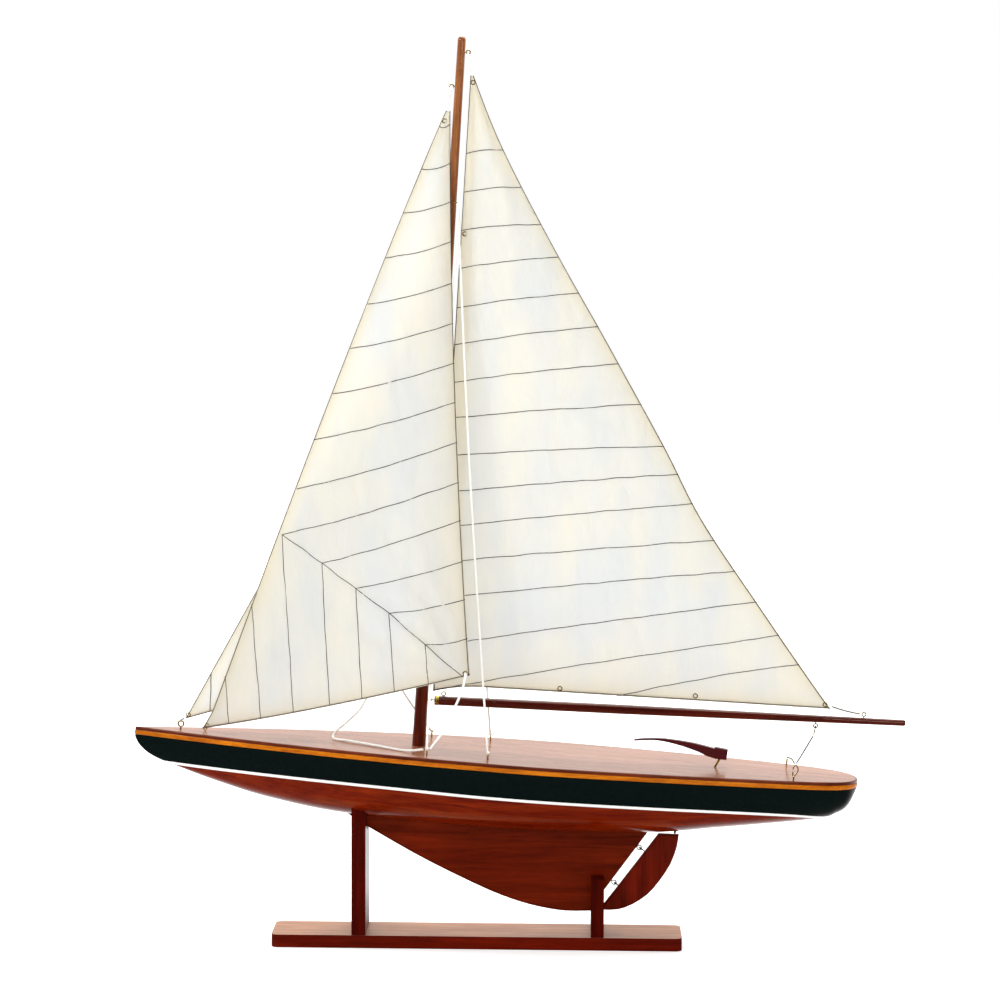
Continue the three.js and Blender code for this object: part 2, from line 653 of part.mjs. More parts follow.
// Sails.
add(boat, 'mainsail', sail(8, 12, mainsailPoint), sailcloth);
add(boat, 'inner_jib', sail(7, 12, jibPoint(INNER_JIB, -1)), sailcloth);
add(boat, 'outer_jib', sail(6, 12, jibPoint(OUTER_JIB, 1)), sailcloth);

// Running and standing rigging, each cord from eye to eye.
const RIGGING = {
  main_halyard: { diameter: CORD, steps: 20, route: [[5.4, -3.4, 586], [7, -21, 330], [8.6, -42.6, 9.7]] },
  shroud_port: {
    diameter: SHROUD,
    steps: 16,
    route: [[5.6, -8.4, 462.2], [30, -25, 240], [59.7, -42.7, 9.8]],
  },
  shroud_starboard: {
    diameter: SHROUD,
    steps: 16,
    route: [[5.6, 8.4, 462.2], [30, 25, 240], [59.7, 42.7, 9.8]],
  },
  main_head_lashing: { diameter: 1.4, steps: 4, route: [[8.6, 0, 575.6], [8, 0, 580], [6.8, 0, 586.6]] },
  jib_halyard: { diameter: 1.6, steps: 5, route: [[-8.4, -3, 545.4], [-7.6, -2, 551], [-6.6, -0.8, 557.4]] },
  outer_jib_halyard: {
    diameter: 1.4,
    steps: 4,
    route: [[-7.6, 5, 417.6], [-6.8, 4.6, 420], [-6.4, 4.4, 425.4]],
  },
  inner_jib_sheet: {
    diameter: CORD,
    steps: 16,
    route: [[37.6, -52, 75], [35.6, -50.6, 63.6], [30.6, -48, 48.2], [20.8, -45.3, 24.4], [11.6, -43.6, 9.8]],
  },
  outer_jib_sheet: {
    diameter: CORD,
    steps: 14,
    route: [[-31.2, 23.2, 65.4], [-9, 34, 32], [7.9, 42.3, 9.9]],
  },
  lazy_sheet: {
    diameter: CORD,
    steps: 36,
    route: [
      [-35.4, 20.4, 64], [-41.5, 17, 52], [-47.4, 13, 40], [-53.2, 9.6, 29], [-63.6, 6, 18], [-72.4, 3, 9.4],
      [-73.4, -0.6, 5.5], [-60, -8, 5.3], [-36, -20.4, 5.2], [-8, -35, 5.2], [5.4, -42, 8.4],
    ],
  },
  mainsheet: {
    diameter: THREAD,
    steps: 18,
    route: [[334.4, -0.6, 34.2], [326.5, -18, 24.9], [319, -35.2, 16.7]],
  },
  outhaul: { diameter: THREAD, steps: 8, route: [[348.6, 0, 60.8], [360, 0, 58], [372.8, 0, 56]] },
  traveller_wire: {
    diameter: THREAD,
    steps: 16,
    route: [[317.5, 35.8, 8.2], [318, 0, 13.4], [317.3, -34.6, 16.4]],
  },
  outer_jib_tack_lashing: {
    diameter: THREAD,
    steps: 4,
    route: [[-202, 2, 13.2], [-203.7, 1.8, 12.3], [-205.2, 1.5, 10.6]],
  },
};
const threads = new Set(['mainsheet', 'outhaul', 'traveller_wire', 'outer_jib_tack_lashing']);
Object.entries(RIGGING).forEach(([name, { route, diameter, steps }]) => {
  add(boat, name, cord(route, diameter, steps), threads.has(name) ? threadGrey : cordCotton);
});

export default part;
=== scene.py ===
"""Wooden display yacht on a cradle stand: fine surfaces, cloth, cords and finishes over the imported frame.

Lengths in the tables are millimetres in the boat's frame (x aft from the mast, y to starboard, z square
to the deck), as in the part's source. place() turns them into metres in the frame that all pieces share.
"""
import json
import math

import bpy
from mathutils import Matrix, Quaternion, Vector, noise


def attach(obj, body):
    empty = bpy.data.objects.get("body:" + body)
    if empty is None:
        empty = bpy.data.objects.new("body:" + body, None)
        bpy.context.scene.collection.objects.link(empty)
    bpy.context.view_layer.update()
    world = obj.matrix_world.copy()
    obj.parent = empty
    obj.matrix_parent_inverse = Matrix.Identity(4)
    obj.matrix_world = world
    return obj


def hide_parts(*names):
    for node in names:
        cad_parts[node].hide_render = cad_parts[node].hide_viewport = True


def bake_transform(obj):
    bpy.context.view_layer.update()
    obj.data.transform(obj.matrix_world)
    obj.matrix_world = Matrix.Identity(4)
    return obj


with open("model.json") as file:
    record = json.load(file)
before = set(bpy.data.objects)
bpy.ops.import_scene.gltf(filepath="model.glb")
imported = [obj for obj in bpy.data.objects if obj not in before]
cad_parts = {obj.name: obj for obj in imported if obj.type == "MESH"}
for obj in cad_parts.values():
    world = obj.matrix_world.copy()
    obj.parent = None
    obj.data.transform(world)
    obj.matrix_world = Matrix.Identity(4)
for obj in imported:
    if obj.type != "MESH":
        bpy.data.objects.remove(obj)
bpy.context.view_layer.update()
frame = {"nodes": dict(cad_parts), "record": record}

BODY_OF = {node: body for body, nodes in frame["record"]["behaviour"]["bodies"].items() for node in nodes}
YACHT = "yacht"
BOOM_BODY, INNER_BODY, OUTER_BODY = "boom_and_mainsail", "inner_jib_sail", "outer_jib_sail"

MM = 0.001
TRIM = math.radians(3.31)  # bow-up angle of the boat on its stand
BOAT_AT = (-50.8, 0.0, 167.2)
AFT = Vector((math.cos(TRIM), 0, -math.sin(TRIM)))
UP = Vector((math.sin(TRIM), 0, math.cos(TRIM)))


def place(point):
    """Boat millimetres to metres in the shared frame."""
    x, y, z = point
    return (Vector(BOAT_AT) + AFT * x + Vector((0, y, 0)) + UP * z) * MM


# ---- camera ----
def make_camera():
    """Long lens from the port side, a little aft of square and a little above the deck."""
    target = Vector((0.01774, 0, 0.38208))
    distance = 2.4
    turn, pitch, roll = math.radians(1.3), math.radians(5.6), math.radians(0.3)
    back = Vector((math.sin(turn) * math.cos(pitch), -math.cos(turn) * math.cos(pitch), math.sin(pitch)))
    data = bpy.data.cameras.new("camera")
    data.sensor_width = 36
    data.lens = 102.1
    data.clip_end = 50
    camera = bpy.data.objects.new("camera", data)
    camera.location = target + back * distance
    aimed = (-back).to_track_quat("-Z", "Y") @ Quaternion((0, 0, 1), roll)
    camera.rotation_euler = aimed.to_euler()
    bpy.context.scene.collection.objects.link(camera)
    bpy.context.scene.camera = camera


make_camera()


# ---- curves ----
def cubic(p1, p2, t1, t2, t):
    """Point at t from 0 to 1 between p1 and p2, with slopes t1 and t2 there."""
    return p1 + t1 * t + (p2 * 3 - p1 * 3 - t1 * 2 - t2) * t * t + (p1 * 2 - p2 * 2 + t1 + t2) * t * t * t


def cord_line(points, step):
    """Centripetal curve through points, in steps of about `step` (boat millimetres)."""
    pts = [Vector(p) for p in points]
    pts = [pts[0] * 2 - pts[1], *pts, pts[-1] * 2 - pts[-2]]
    line = []
    for i in range(1, len(pts) - 2):
        p0, p1, p2, p3 = pts[i - 1:i + 3]
        d0, d1, d2 = (max((b - a).length ** 0.5, 1e-4) for a, b in ((p0, p1), (p1, p2), (p2, p3)))
        t1 = ((p1 - p0) / d0 - (p2 - p0) / (d0 + d1) + (p2 - p1) / d1) * d1
        t2 = ((p2 - p1) / d1 - (p3 - p1) / (d1 + d2) + (p3 - p2) / d2) * d1
        count = max(2, round((p2 - p1).length / step))
        line += [cubic(p1, p2, t1, t2, k / count) for k in range(count)]
    return line + [pts[-2]]


def smooth(points, count):
    """Spline through (x, z) points, the same number of steps between each two."""
    pts = [Vector(p) for p in points]
    last = len(pts) - 1
    line = []
    for k in range(count + 1):
        s = last * k / count
        i = min(int(s), last - 1)
        p0, p1, p2, p3 = pts[max(i - 1, 0)], pts[i], pts[i + 1], pts[min(i + 2, last)]
        line.append(cubic(p1, p2, (p2 - p0) / 2, (p3 - p1) / 2, s - i))
    return line


def read_line(line, x):
    """Second value of a line of points where its first value is x."""
    for before, after in zip(line, line[1:]):
        if after.x >= x:
            return before.y + (after.y - before.y) * (x - before.x) / max(after.x - before.x, 1e-6)
    return line[-1].y


def lerp(a, b, t):
    return a + (b - a) * t


def bulge(t):
    """0 at both ends of 0 to 1, and 1 in the middle."""
    return 4 * t * (1 - t)


# ---- mesh helpers ----
def new_piece(name, shape, materials, body=None, nodes=(), smooth_angle=40, face_slots=None):
    """Object of a shape (verts in metres, faces): it rides on body, stands for nodes and takes a slot."""
    verts, faces = shape
    mesh = bpy.data.meshes.new(name)
    mesh.from_pydata([tuple(v) for v in verts], [], faces)
    mesh.update()
    for material in materials:
        mesh.materials.append(material)
    if face_slots:
        mesh.polygons.foreach_set("material_index", face_slots)
    obj = bpy.data.objects.new(name, mesh)
    bpy.context.scene.collection.objects.link(obj)
    shade(obj, smooth_angle)
    if body:
        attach(obj, body)
    if nodes:
        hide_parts(*nodes)
    return obj


def shade(obj, angle):
    """Smooth shading, broken where faces meet at more than angle degrees."""
    mesh = obj.data
    mesh.polygons.foreach_set("use_smooth", [True] * len(mesh.polygons))
    mesh.set_sharp_from_angle(angle=math.radians(angle))


def bar_faces(rings, sides):
    """Quads between the rings of a bar, and a cap at each end."""
    faces = []
    for i in range(rings - 1):
        for k in range(sides):
            a, b = i * sides + k, i * sides + (k + 1) % sides
            faces.append((a, b, b + sides, a + sides))
    faces.append(tuple(reversed(range(sides))))
    faces.append(tuple(range((rings - 1) * sides, rings * sides)))
    return faces


def tube_mesh(path, radius, sides=12, lobes=0, pitch=4.0):
    """Round bar along boat-millimetre points, as verts in metres and faces. Lobes make it laid rope."""
    groove_depth = 0.16
    path = [Vector(p) for p in path]
    count = len(path)
    verts = []
    tangent = (path[1] - path[0]).normalized()
    side = tangent.orthogonal().normalized()
    run = 0.0
    for i, point in enumerate(path):
        nearby = (path[min(i + 1, count - 1)] - path[max(i - 1, 0)]).normalized()
        side = (side - nearby * side.dot(nearby)).normalized()
        other = nearby.cross(side)
        if i:
            run += (point - path[i - 1]).length
        for k in range(sides):
            a = 2 * math.pi * k / sides
            strand = 1.0
            if lobes:
                turned = lobes / 2 * (a - 2 * math.pi * run / pitch)
                strand = 1 - groove_depth + groove_depth * abs(math.cos(turned))
            verts.append(place(point + (side * math.cos(a) + other * math.sin(a)) * radius * strand))
    return verts, bar_faces(count, sides)


def merged(parts):
    """Several (verts, faces) as one."""
    verts, faces = [], []
    for v, f in parts:
        faces += [tuple(i + len(verts) for i in face) for face in f]
        verts += v
    return verts, faces


def lathe(profile, start, along, sides=40):
    """Turned bar: profile of (radius, distance) from start along a direction, boat millimetres."""
    least_radius = 0.02
    along = Vector(along).normalized()
    side = along.orthogonal().normalized()
    other = along.cross(side)
    verts = []
    for radius, distance in profile:
        for k in range(sides):
            a = 2 * math.pi * k / sides
            around = side * math.cos(a) + other * math.sin(a)
            verts.append(place(Vector(start) + along * distance + around * max(radius, least_radius)))
    return verts, bar_faces(len(profile), sides)


# ---- finishes ----
class Finish:
    """A Principled material and short calls that add nodes to it."""

    def __init__(
        self, name, roughness=0.5, metallic=0.0, specular=0.5, coat=0.0, sheen=0.0, tint=(1, 1, 1),
    ):
        self.material = bpy.data.materials.new(name)
        self.material.use_nodes = True
        self.tree = self.material.node_tree
        self.shader = self.tree.nodes["Principled BSDF"]
        self.set("Roughness", roughness)
        self.set("Metallic", metallic)
        self.set("Specular IOR Level", specular)
        self.set("Coat Weight", coat)
        self.set("Coat Roughness", 0.05)
        self.set("Specular Tint", tint)
        self.set("Sheen Weight", sheen)
        self.coords = self.node("ShaderNodeTexCoord").outputs["Object"]

    def feed(self, socket, value):
        """Links an output to a socket, or sets the socket's own number, vector or colour."""
        if isinstance(value, bpy.types.NodeSocket):
            self.tree.links.new(value, socket)
        elif socket.type == "RGBA":
            socket.default_value = (*value, 1)
        else:
            socket.default_value = value

    def set(self, socket, value):
        self.feed(self.shader.inputs[socket], value)

    def node(self, kind, inputs=None, **values):
        made = self.tree.nodes.new(kind)
        for key, value in values.items():
            setattr(made, key, value)
        for socket, value in (inputs or {}).items():
            self.feed(made.inputs[socket], value)
        return made

    def stretched(self, scale, turn=0.0):
        """Coordinates scaled per axis, after a turn about y."""
        inputs = {"Scale": scale, "Rotation": (0, turn, 0), "Vector": self.coords}
        return self.node("ShaderNodeMapping", inputs).outputs["Vector"]

    def noise(self, vector, scale=1.0, detail=4.0, rough=0.55, warp=0.0):
        inputs = {"Vector": vector, "Scale": scale, "Detail": detail, "Roughness": rough, "Distortion": warp}
        return self.node("ShaderNodeTexNoise", inputs).outputs["Fac"]

    def ramp(self, factor, stops):
        made = self.node("ShaderNodeValToRGB", {"Fac": factor})
        for element, (position, colour) in zip(made.color_ramp.elements, stops):
            element.position = position
            element.color = (*colour, 1)
        return made.outputs["Color"]

    def math(self, operation, a, b):
        return self.node("ShaderNodeMath", {0: a, 1: b}, operation=operation).outputs[0]

    def mix(self, factor, first, second, blend="MIX"):
        inputs = {0: factor, 6: first, 7: second}
        return self.node("ShaderNodeMix", inputs, data_type="RGBA", blend_type=blend).outputs[2]

    def bump(self, height, strength, distance):
        inputs = {"Strength": strength, "Distance": distance, "Height": height}
        self.set("Normal", self.node("ShaderNodeBump", inputs).outputs["Normal"])

    def axis(self, vector, letter):
        return self.node("ShaderNodeSeparateXYZ", {"Vector": vector}).outputs[letter]

    def span(self, value, low, high, at_low=0.0, at_high=1.0):
        """at_low where value is low, at_high where it is high, and level beyond them."""
        inputs = {"Value": value, "From Min": low, "From Max": high, "To Min": at_low, "To Max": at_high}
        return self.node("ShaderNodeMapRange", inputs).outputs["Result"]

    def attribute(self, name):
        return self.node("ShaderNodeAttribute", attribute_name=name).outputs["Fac"]


GRAIN = {"x": (9, 150, 150), "z": (150, 150, 9)}  # noise scales: few changes along the grain, many across it


def grain(finish, along, dark, light, turn=0.0):
    """Long streaks along one axis, with broad figure under fine pores."""
    long_way = finish.stretched(GRAIN[along], turn)
    figure = finish.noise(long_way, 0.9, 5, 0.6, 0.6)
    pores = finish.noise(long_way, 5.0, 3, 0.7)
    base = finish.ramp(figure, [(0.3, dark), (0.7, light)])
    pore_tone = finish.ramp(pores, [(0.34, (0.72, 0.66, 0.62)), (0.56, (1, 1, 1))])
    clouds = finish.noise(finish.coords, 16, 2)
    cloud = finish.ramp(clouds, [(0.3, (0.9, 0.87, 0.85)), (0.7, (1.08, 1.06, 1.05))])
    toned = finish.mix(1.0, base, pore_tone, "MULTIPLY")
    finish.bump(pores, 0.06, 0.0004)
    return finish.mix(1.0, toned, cloud, "MULTIPLY")


WARM_GLOSS = (1.0, 0.55, 0.35)  # reddens what the varnish mirrors


def wood(name, along, dark, light, roughness=0.35, specular=0.3, coat=0.1, turn=0.0):
    finish = Finish(name, roughness, specular=specular, coat=coat, tint=WARM_GLOSS)
    finish.set("Base Color", grain(finish, along, dark, light, turn))
    return finish.material


mahogany_z = wood("mahogany_upright", "z", (0.035, 0.0006, 0.0002), (0.095, 0.0025, 0.0004), 0.25, 0.12, 0.02)
spar_wood_x = wood("spar_lengthwise", "x", (0.03, 0.0015, 0.001), (0.09, 0.006, 0.0025), 0.2, 0.4, 0.4, TRIM)
tiller_wood = wood("tiller_wood", "x", (0.04, 0.0015, 0.004), (0.10, 0.006, 0.012), 0.3, 0.35, 0.3, TRIM)
keel_wood = wood("keel_varnish", "x", (0.075, 0.003, 0.0002), (0.19, 0.013, 0.0006), 0.3, 0.15, 0.0, TRIM)
rudder_wood = wood("rudder_varnish", "z", (0.07, 0.0015, 0.0003), (0.18, 0.007, 0.0006), 0.3, 0.2, 0.05)
deck_veneer = wood("deck_veneer", "x", (0.33, 0.145, 0.085), (0.46, 0.235, 0.15), 0.2, 0.35, 0.12, TRIM)
deck_rim = wood("deck_rim", "x", (0.07, 0.008, 0.003), (0.17, 0.03, 0.01), 0.3, 0.35, 0.2, TRIM)
strip_wood = wood("strip_wood", "x", (0.38, 0.085, 0.003), (0.66, 0.20, 0.006), 0.3, 0.2, 0.05, TRIM)
raw_wood = wood("raw_wood", "z", (0.36, 0.24, 0.13), (0.5, 0.35, 0.2), 0.7, 0.3, 0.0)


STRIPE_THICKNESS = 2.5
STRIPE_PAINT = (0.86, 0.86, 0.83)


def base_finish():
    """The stand's board: deep red at its sides, and a pale brown on its upward face that is painted light
    from above.
    """
    finish = Finish("mahogany_board", 0.3, specular=0.2, tint=WARM_GLOSS)
    side = grain(finish, "x", (0.075, 0.0015, 0.0003), (0.19, 0.008, 0.001))
    # painted light: a lit, pale brown copy of the board's wood for faces that look up
    top = grain(finish, "x", (0.42, 0.19, 0.10), (0.64, 0.34, 0.20))
    facing = finish.axis(finish.node("ShaderNodeNewGeometry").outputs["Normal"], "Z")
    # the more a face looks up, the more of the painted top light it takes
    painted_top_light = finish.ramp(facing, [(0.35, (0, 0, 0)), (0.95, (1, 1, 1))])
    finish.set("Base Color", finish.mix(painted_top_light, side, top))
    return finish.material


def hull_finish():
    """Paint above the boot stripe and glossier varnish below it, by the height over the stripe's foot."""
    finish = Finish("hull_gloss", 0.16, tint=(1.0, 0.75, 0.6))
    height = finish.attribute("over_stripe")
    varnish = grain(finish, "x", (0.10, 0.003, 0.0002), (0.22, 0.018, 0.0006), TRIM)
    over = finish.math("GREATER_THAN", height, 0.0)
    above = finish.math("GREATER_THAN", height, STRIPE_THICKNESS)
    speckle = finish.noise(finish.coords, 220, 2)
    paint = finish.ramp(speckle, [(0.3, (0.001, 0.0048, 0.0048)), (0.7, (0.0013, 0.006, 0.0058))])
    lower = finish.mix(over, varnish, STRIPE_PAINT)
    under = finish.math("SUBTRACT", 1.0, over)
    finish.set("Coat Weight", finish.math("MULTIPLY", under, 0.25))
    gloss = finish.math("MULTIPLY", under, 0.2)
    finish.set("Specular IOR Level", finish.math("ADD", gloss, 0.15))
    finish.set("Base Color", finish.mix(above, lower, paint))
    return finish.material


def brass_finish(name, light, dark, roughness):
    finish = Finish(name, roughness, metallic=1.0)
    tarnish = finish.noise(finish.coords, 700, 3)
    finish.set("Base Color", finish.ramp(tarnish, [(0.35, dark), (0.6, light)]))
    finish.bump(finish.noise(finish.coords, 3000, 2), 0.05, 0.0001)
    return finish.material


brass = brass_finish("brass", (0.66, 0.50, 0.13), (0.20, 0.14, 0.035), 0.25)
dull_brass = brass_finish("dull_brass", (0.14, 0.15, 0.11), (0.04, 0.045, 0.035), 0.35)
steel = brass_finish("steel", (0.62, 0.62, 0.62), (0.45, 0.45, 0.46), 0.35)


def cord_finish(name, light, dark):
    finish = Finish(name, 0.85, specular=0.2, sheen=0.1)
    fibres = finish.noise(finish.coords, 2600, 3)
    finish.set("Base Color", finish.ramp(fibres, [(0.3, dark), (0.65, light)]))
    finish.bump(fibres, 0.25, 0.0002)
    return finish.material


white_cord = cord_finish("white_cord", (0.99, 0.985, 0.95), (0.90, 0.885, 0.83))
thread_grey = cord_finish("thread_grey", (0.16, 0.155, 0.11), (0.06, 0.058, 0.04))
seam_thread = cord_finish("seam_thread", (0.07, 0.052, 0.04), (0.02, 0.015, 0.012))


def cloth_finish(name, painted_brightness):
    """Cotton weave, warmer in the doubled hems; light comes through a little. The second argument sets how
    pale the cloth is: painted light, the same cloth paler on a sail that gets less light and darker on one
    that gets more.
    """
    finish = Finish(name, 0.9, specular=0.15, sheen=0.15)
    weave_scale = 1500 / 6.28
    waving = {"Vector": finish.coords, "Scale": weave_scale, "Distortion": 1.2, "Detail": 1.0}
    warp, weft = (
        finish.node("ShaderNodeTexWave", waving, wave_type="BANDS", bands_direction=direction).outputs["Fac"]
        for direction in ("X", "Z")
    )
    weave = finish.math("ADD", warp, weft)
    creases = finish.noise(finish.stretched((55, 55, 26), math.radians(25)), 1.0, 4, 0.5, 0.8)
    height = finish.math("ADD", finish.math("MULTIPLY", weave, 0.02), creases)
    finish.bump(height, 0.6, 0.004)
    patches = finish.noise(finish.stretched((24, 24, 9)), 1.0, 3)
    # painted light: both cloth colours are scaled by the sail's own brightness
    cream = tuple(painted_brightness * part for part in (0.865, 0.845, 0.78))
    cool = tuple(painted_brightness * part for part in (0.80, 0.81, 0.805))
    plain = finish.ramp(patches, [(0.34, cream), (0.64, cool)])
    hem = finish.attribute("hem")
    warm = finish.mix(hem, plain, (0.78, 0.71, 0.54))
    finish.set("Base Color", warm)
    seen_through = 0.55
    through = finish.node("ShaderNodeBsdfTranslucent", {"Color": warm})
    inputs = {0: seen_through, 1: finish.shader.outputs["BSDF"], 2: through.outputs["BSDF"]}
    share = finish.node("ShaderNodeMixShader", inputs)
    finish.feed(finish.tree.nodes["Material Output"].inputs["Surface"], share.outputs["Shader"])
    return finish.material


def mast_finish():
    """Dark red at the foot, going to a golden brown towards the top that is a painted reflection of the
    bright surroundings.
    """
    finish = Finish("spar_upright", 0.2, specular=0.35, coat=0.25, tint=WARM_GLOSS)
    low = grain(finish, "z", (0.045, 0.002, 0.0006), (0.14, 0.014, 0.003))
    # painted reflection: a lit, golden brown copy of the mast's wood
    high = grain(finish, "z", (0.16, 0.04, 0.012), (0.42, 0.17, 0.06))
    # heights over which the painted reflection fades in
    painted_light_from, full_painted_light = 0.34, 0.66
    painted_light_rise = finish.span(finish.axis(finish.coords, "Z"), painted_light_from, full_painted_light)
    finish.set("Base Color", finish.mix(painted_light_rise, low, high))
    return finish.material


hull_gloss = hull_finish()
spar_wood_z = mast_finish()
mahogany_board = base_finish()
# One cloth for all three sails; their different paleness is painted light for how much light reaches each.
main_cloth = cloth_finish("main_cloth", 0.98)
inner_cloth = cloth_finish("inner_cloth", 1.045)
outer_cloth = cloth_finish("outer_cloth", 1.1)


def paint_node(node, material, angle=35):
    """A CAD node whose shape is right keeps it and takes a finish."""
    obj = frame["nodes"][node]
    obj.data.materials.clear()
    obj.data.materials.append(material)
    shade(obj, angle)


# ---- hull form ----
BOW_X, STERN_X, BEAM_X, HALF_BEAM = -243.0, 374.8, 104.0, 63.0
BOTTOM_LINE = [
    (-243, -3.6), (-242, -6.5), (-239.5, -10.6), (-236, -14.2), (-231, -18), (-222, -22.4), (-207, -27.4),
    (-170, -38.5), (-124, -49.5), (-55, -58.5), (70, -62), (196, -57), (260, -48.5), (340, -36), (358, -30),
    (368, -22.4), (374.8, -5.5),
]
BOW_TIP_LENGTH, BOW_TIP_HALF = 3.0, 1.6
DECK_THICKNESS, STRIP_HEIGHT, GAP = 2.5, 3.7, 0.3
STRIP_TOP = DECK_THICKNESS + GAP
HULL_TOP = STRIP_TOP + STRIP_HEIGHT + GAP
BOTTOM = smooth(BOTTOM_LINE, 480)


def along_hull(x):
    """0 at the bow, 1 at the stern."""
    return min(1.0, max(0.0, (x - BOW_X) / (STERN_X - BOW_X)))


def deck_at(x):
    """Height of the deck, which falls a little towards the stern."""
    return 4 - 3 * along_hull(x) ** 3


def half_beam_at(x):
    if x < BEAM_X:
        t = min(1.0, (BEAM_X - x) / (BEAM_X - BOW_X))
        from_tip = min(1.0, max(0.0, x - BOW_X) / BOW_TIP_LENGTH)
        return max(HALF_BEAM * (1 - t ** 1.8), BOW_TIP_HALF * math.sqrt(1 - (1 - from_tip) ** 2))
    t = min(1.0, (x - BEAM_X) / (STERN_X - BEAM_X))
    return HALF_BEAM * (1 - 0.54 * t ** 1.6) * math.sqrt(max(0.0, 1 - t ** 20))


def crowded(start, end, count):
    """Stations from start to end that crowd towards both ends."""
    return [(start + end) / 2 - (end - start) / 2 * math.cos(math.pi * i / (count - 1)) for i in range(count)]


STRIPE_FOOT = smooth([  # lower edge of the boot stripe: level forward, falling towards the stern
    (-243, -26.3), (-40, -26.3), (60, -27.7), (225, -28.8), (305, -30.4), (341, -33), (376, -37),
], 240)


def make_hull():
    """Rounded sections from rail to rail, fuller towards the stern, closed by a flat top under the deck."""
    half_points = 26
    verts, faces, over = [], [], []
    xs = crowded(BOW_X + 0.15, STERN_X - 0.4, 150)
    for x in xs:
        top = deck_at(x) - HULL_TOP
        beam = max(half_beam_at(x), 0.3)
        depth = max(top - read_line(BOTTOM, x), 1.5)
        bluntness = 1.75 + 0.35 * along_hull(x)
        for i in range(2 * half_points + 1):
            a = math.pi * i / (2 * half_points)
            across = math.copysign(abs(math.cos(a)) ** (2 / bluntness), math.cos(a))
            z = top - depth * max(0.0, math.sin(a)) ** (2 / bluntness)
            verts.append(place((x, -beam * across, z)))
            over.append(z - read_line(STRIPE_FOOT, x))
    ring = 2 * half_points + 1
    for i in range(len(xs) - 1):
        for k in range(ring - 1):
            a = i * ring + k
            faces.append((a, a + 1, a + ring + 1, a + ring))
        faces.append((i * ring, i * ring + ring, i * ring + 2 * ring - 1, i * ring + ring - 1))
    faces.append(tuple(reversed(range(ring))))
    faces.append(tuple(range((len(xs) - 1) * ring, len(xs) * ring)))
    hull = new_piece("hull_shell", (verts, faces), [hull_gloss], YACHT, ["hull"], 50)
    hull.data.attributes.new("over_stripe", "FLOAT", "POINT").data.foreach_set("value", over)


def outline(grow, count=110):
    """Deck edge as (x, y) all round, counter-clockwise from above, grown sideways by its own normals."""
    tip = [BOW_X + BOW_TIP_LENGTH * (1 - math.cos(math.pi / 2 * k / 7)) for k in range(7)]
    rest = [x for x in crowded(BOW_X, STERN_X, count)[1:-1] if x > BOW_X + BOW_TIP_LENGTH]
    edge = [(x, half_beam_at(x)) for x in tip + rest]
    narrowest = 0.05
    moved = []
    for i, (x, y) in enumerate(edge):
        (xa, ya), (xb, yb) = edge[max(i - 1, 0)], edge[min(i + 1, len(edge) - 1)]
        slope = Vector((xb - xa, yb - ya)).normalized() if i else Vector((0, 1))
        moved.append((x - slope.y * grow, max(narrowest, y + slope.x * grow)))
    return [(x, -y) for x, y in moved] + [(x, y) for x, y in reversed(moved)]


def rim_solid(profile, crowned):
    """Solid swept round the deck's outline; profile is (grow, depth under the deck).

    crowned closes it above and below; a plain one is a hoop. kinds is 0 on the top face and 1 elsewhere.
    """
    verts, faces, kinds = [], [], []
    rings = [[(x, y, deck_at(x) - depth) for x, y in outline(grow)] for grow, depth in profile]
    count = len(rings[0])
    for ring in rings:
        verts += [place(p) for p in ring]
    rows = len(rings)
    pairs = range(rows - 1) if crowned else range(rows)
    for r in pairs:
        for k in range(count):
            a, b = r * count + k, r * count + (k + 1) % count
            c, d = ((r + 1) % rows) * count + (k + 1) % count, ((r + 1) % rows) * count + k
            faces.append((a, d, c, b))
            kinds.append(1)
    if crowned:
        half = count // 2
        for base, flip in ((0, False), ((rows - 1) * count, True)):
            for k in range(half - 1):
                quad = (base + k, base + k + 1, base + count - 2 - k, base + count - 1 - k)
                faces.append(tuple(reversed(quad)) if flip else quad)
                kinds.append(0 if base == 0 else 1)
    return (verts, faces), kinds


def make_deck():
    round_by, margin = 0.9, 1.6
    turns = [math.pi / 2 * k / 5 for k in range(6)]
    profile = [(-round_by * (1 - math.sin(a)), round_by * (1 - math.cos(a))) for a in turns]
    profile = [(-margin, 0.0), *profile, (0, DECK_THICKNESS)]
    board, kinds = rim_solid(profile, True)
    new_piece("deck_board", board, [deck_veneer, deck_rim], YACHT, ["deck"], 50, kinds)
    proud, width, shares = 0.5, 5, [k / 8 for k in range(9)]
    strip_face = [(proud * math.sin(math.pi * t), STRIP_TOP + STRIP_HEIGHT * t) for t in shares]
    strip, _ = rim_solid([(-width, STRIP_TOP), *strip_face, (-width, STRIP_TOP + STRIP_HEIGHT)], False)
    new_piece("rail_strip", strip, [strip_wood], YACHT, ["sheer_strip"], 50)


make_hull()
make_deck()


# ---- pieces that keep the CAD's shape ----
def rounded_bevel(node, width):
    """Eases a node's edges by a width in millimetres."""
    bevel = frame["nodes"][node].modifiers.new("eased_edges", "BEVEL")
    bevel.width = width * MM
    bevel.segments = 3
    bevel.limit_method = "ANGLE"
    bevel.angle_limit = math.radians(40)


for node_name, material, ease in (
    ("stand_base", mahogany_board, 1.2), ("stand_bow_post", mahogany_z, 0.8),
    ("stand_stern_post", mahogany_z, 1.4), ("tiller", tiller_wood, 0.8),
):
    paint_node(node_name, material, 30)
    rounded_bevel(node_name, ease)
paint_node("keel", keel_wood, 40)
paint_node("rudder", rudder_wood, 40)
paint_node("mast_step", raw_wood)
for node_name in BODY_OF:
    if "screw" in node_name:
        paint_node(node_name, steel)

# ---- spars ----
MAST_TOP, MAST_FOOT, MAST_TIP = 603.6, -50.0, 3.2
MAST_LOW_RADIUS, MAST_TOP_RADIUS = 5.8, 3.4
BOOM_START, BOOM_END = Vector((11.1, 0, 43.6)), Vector((411.8, 0, 50.8))


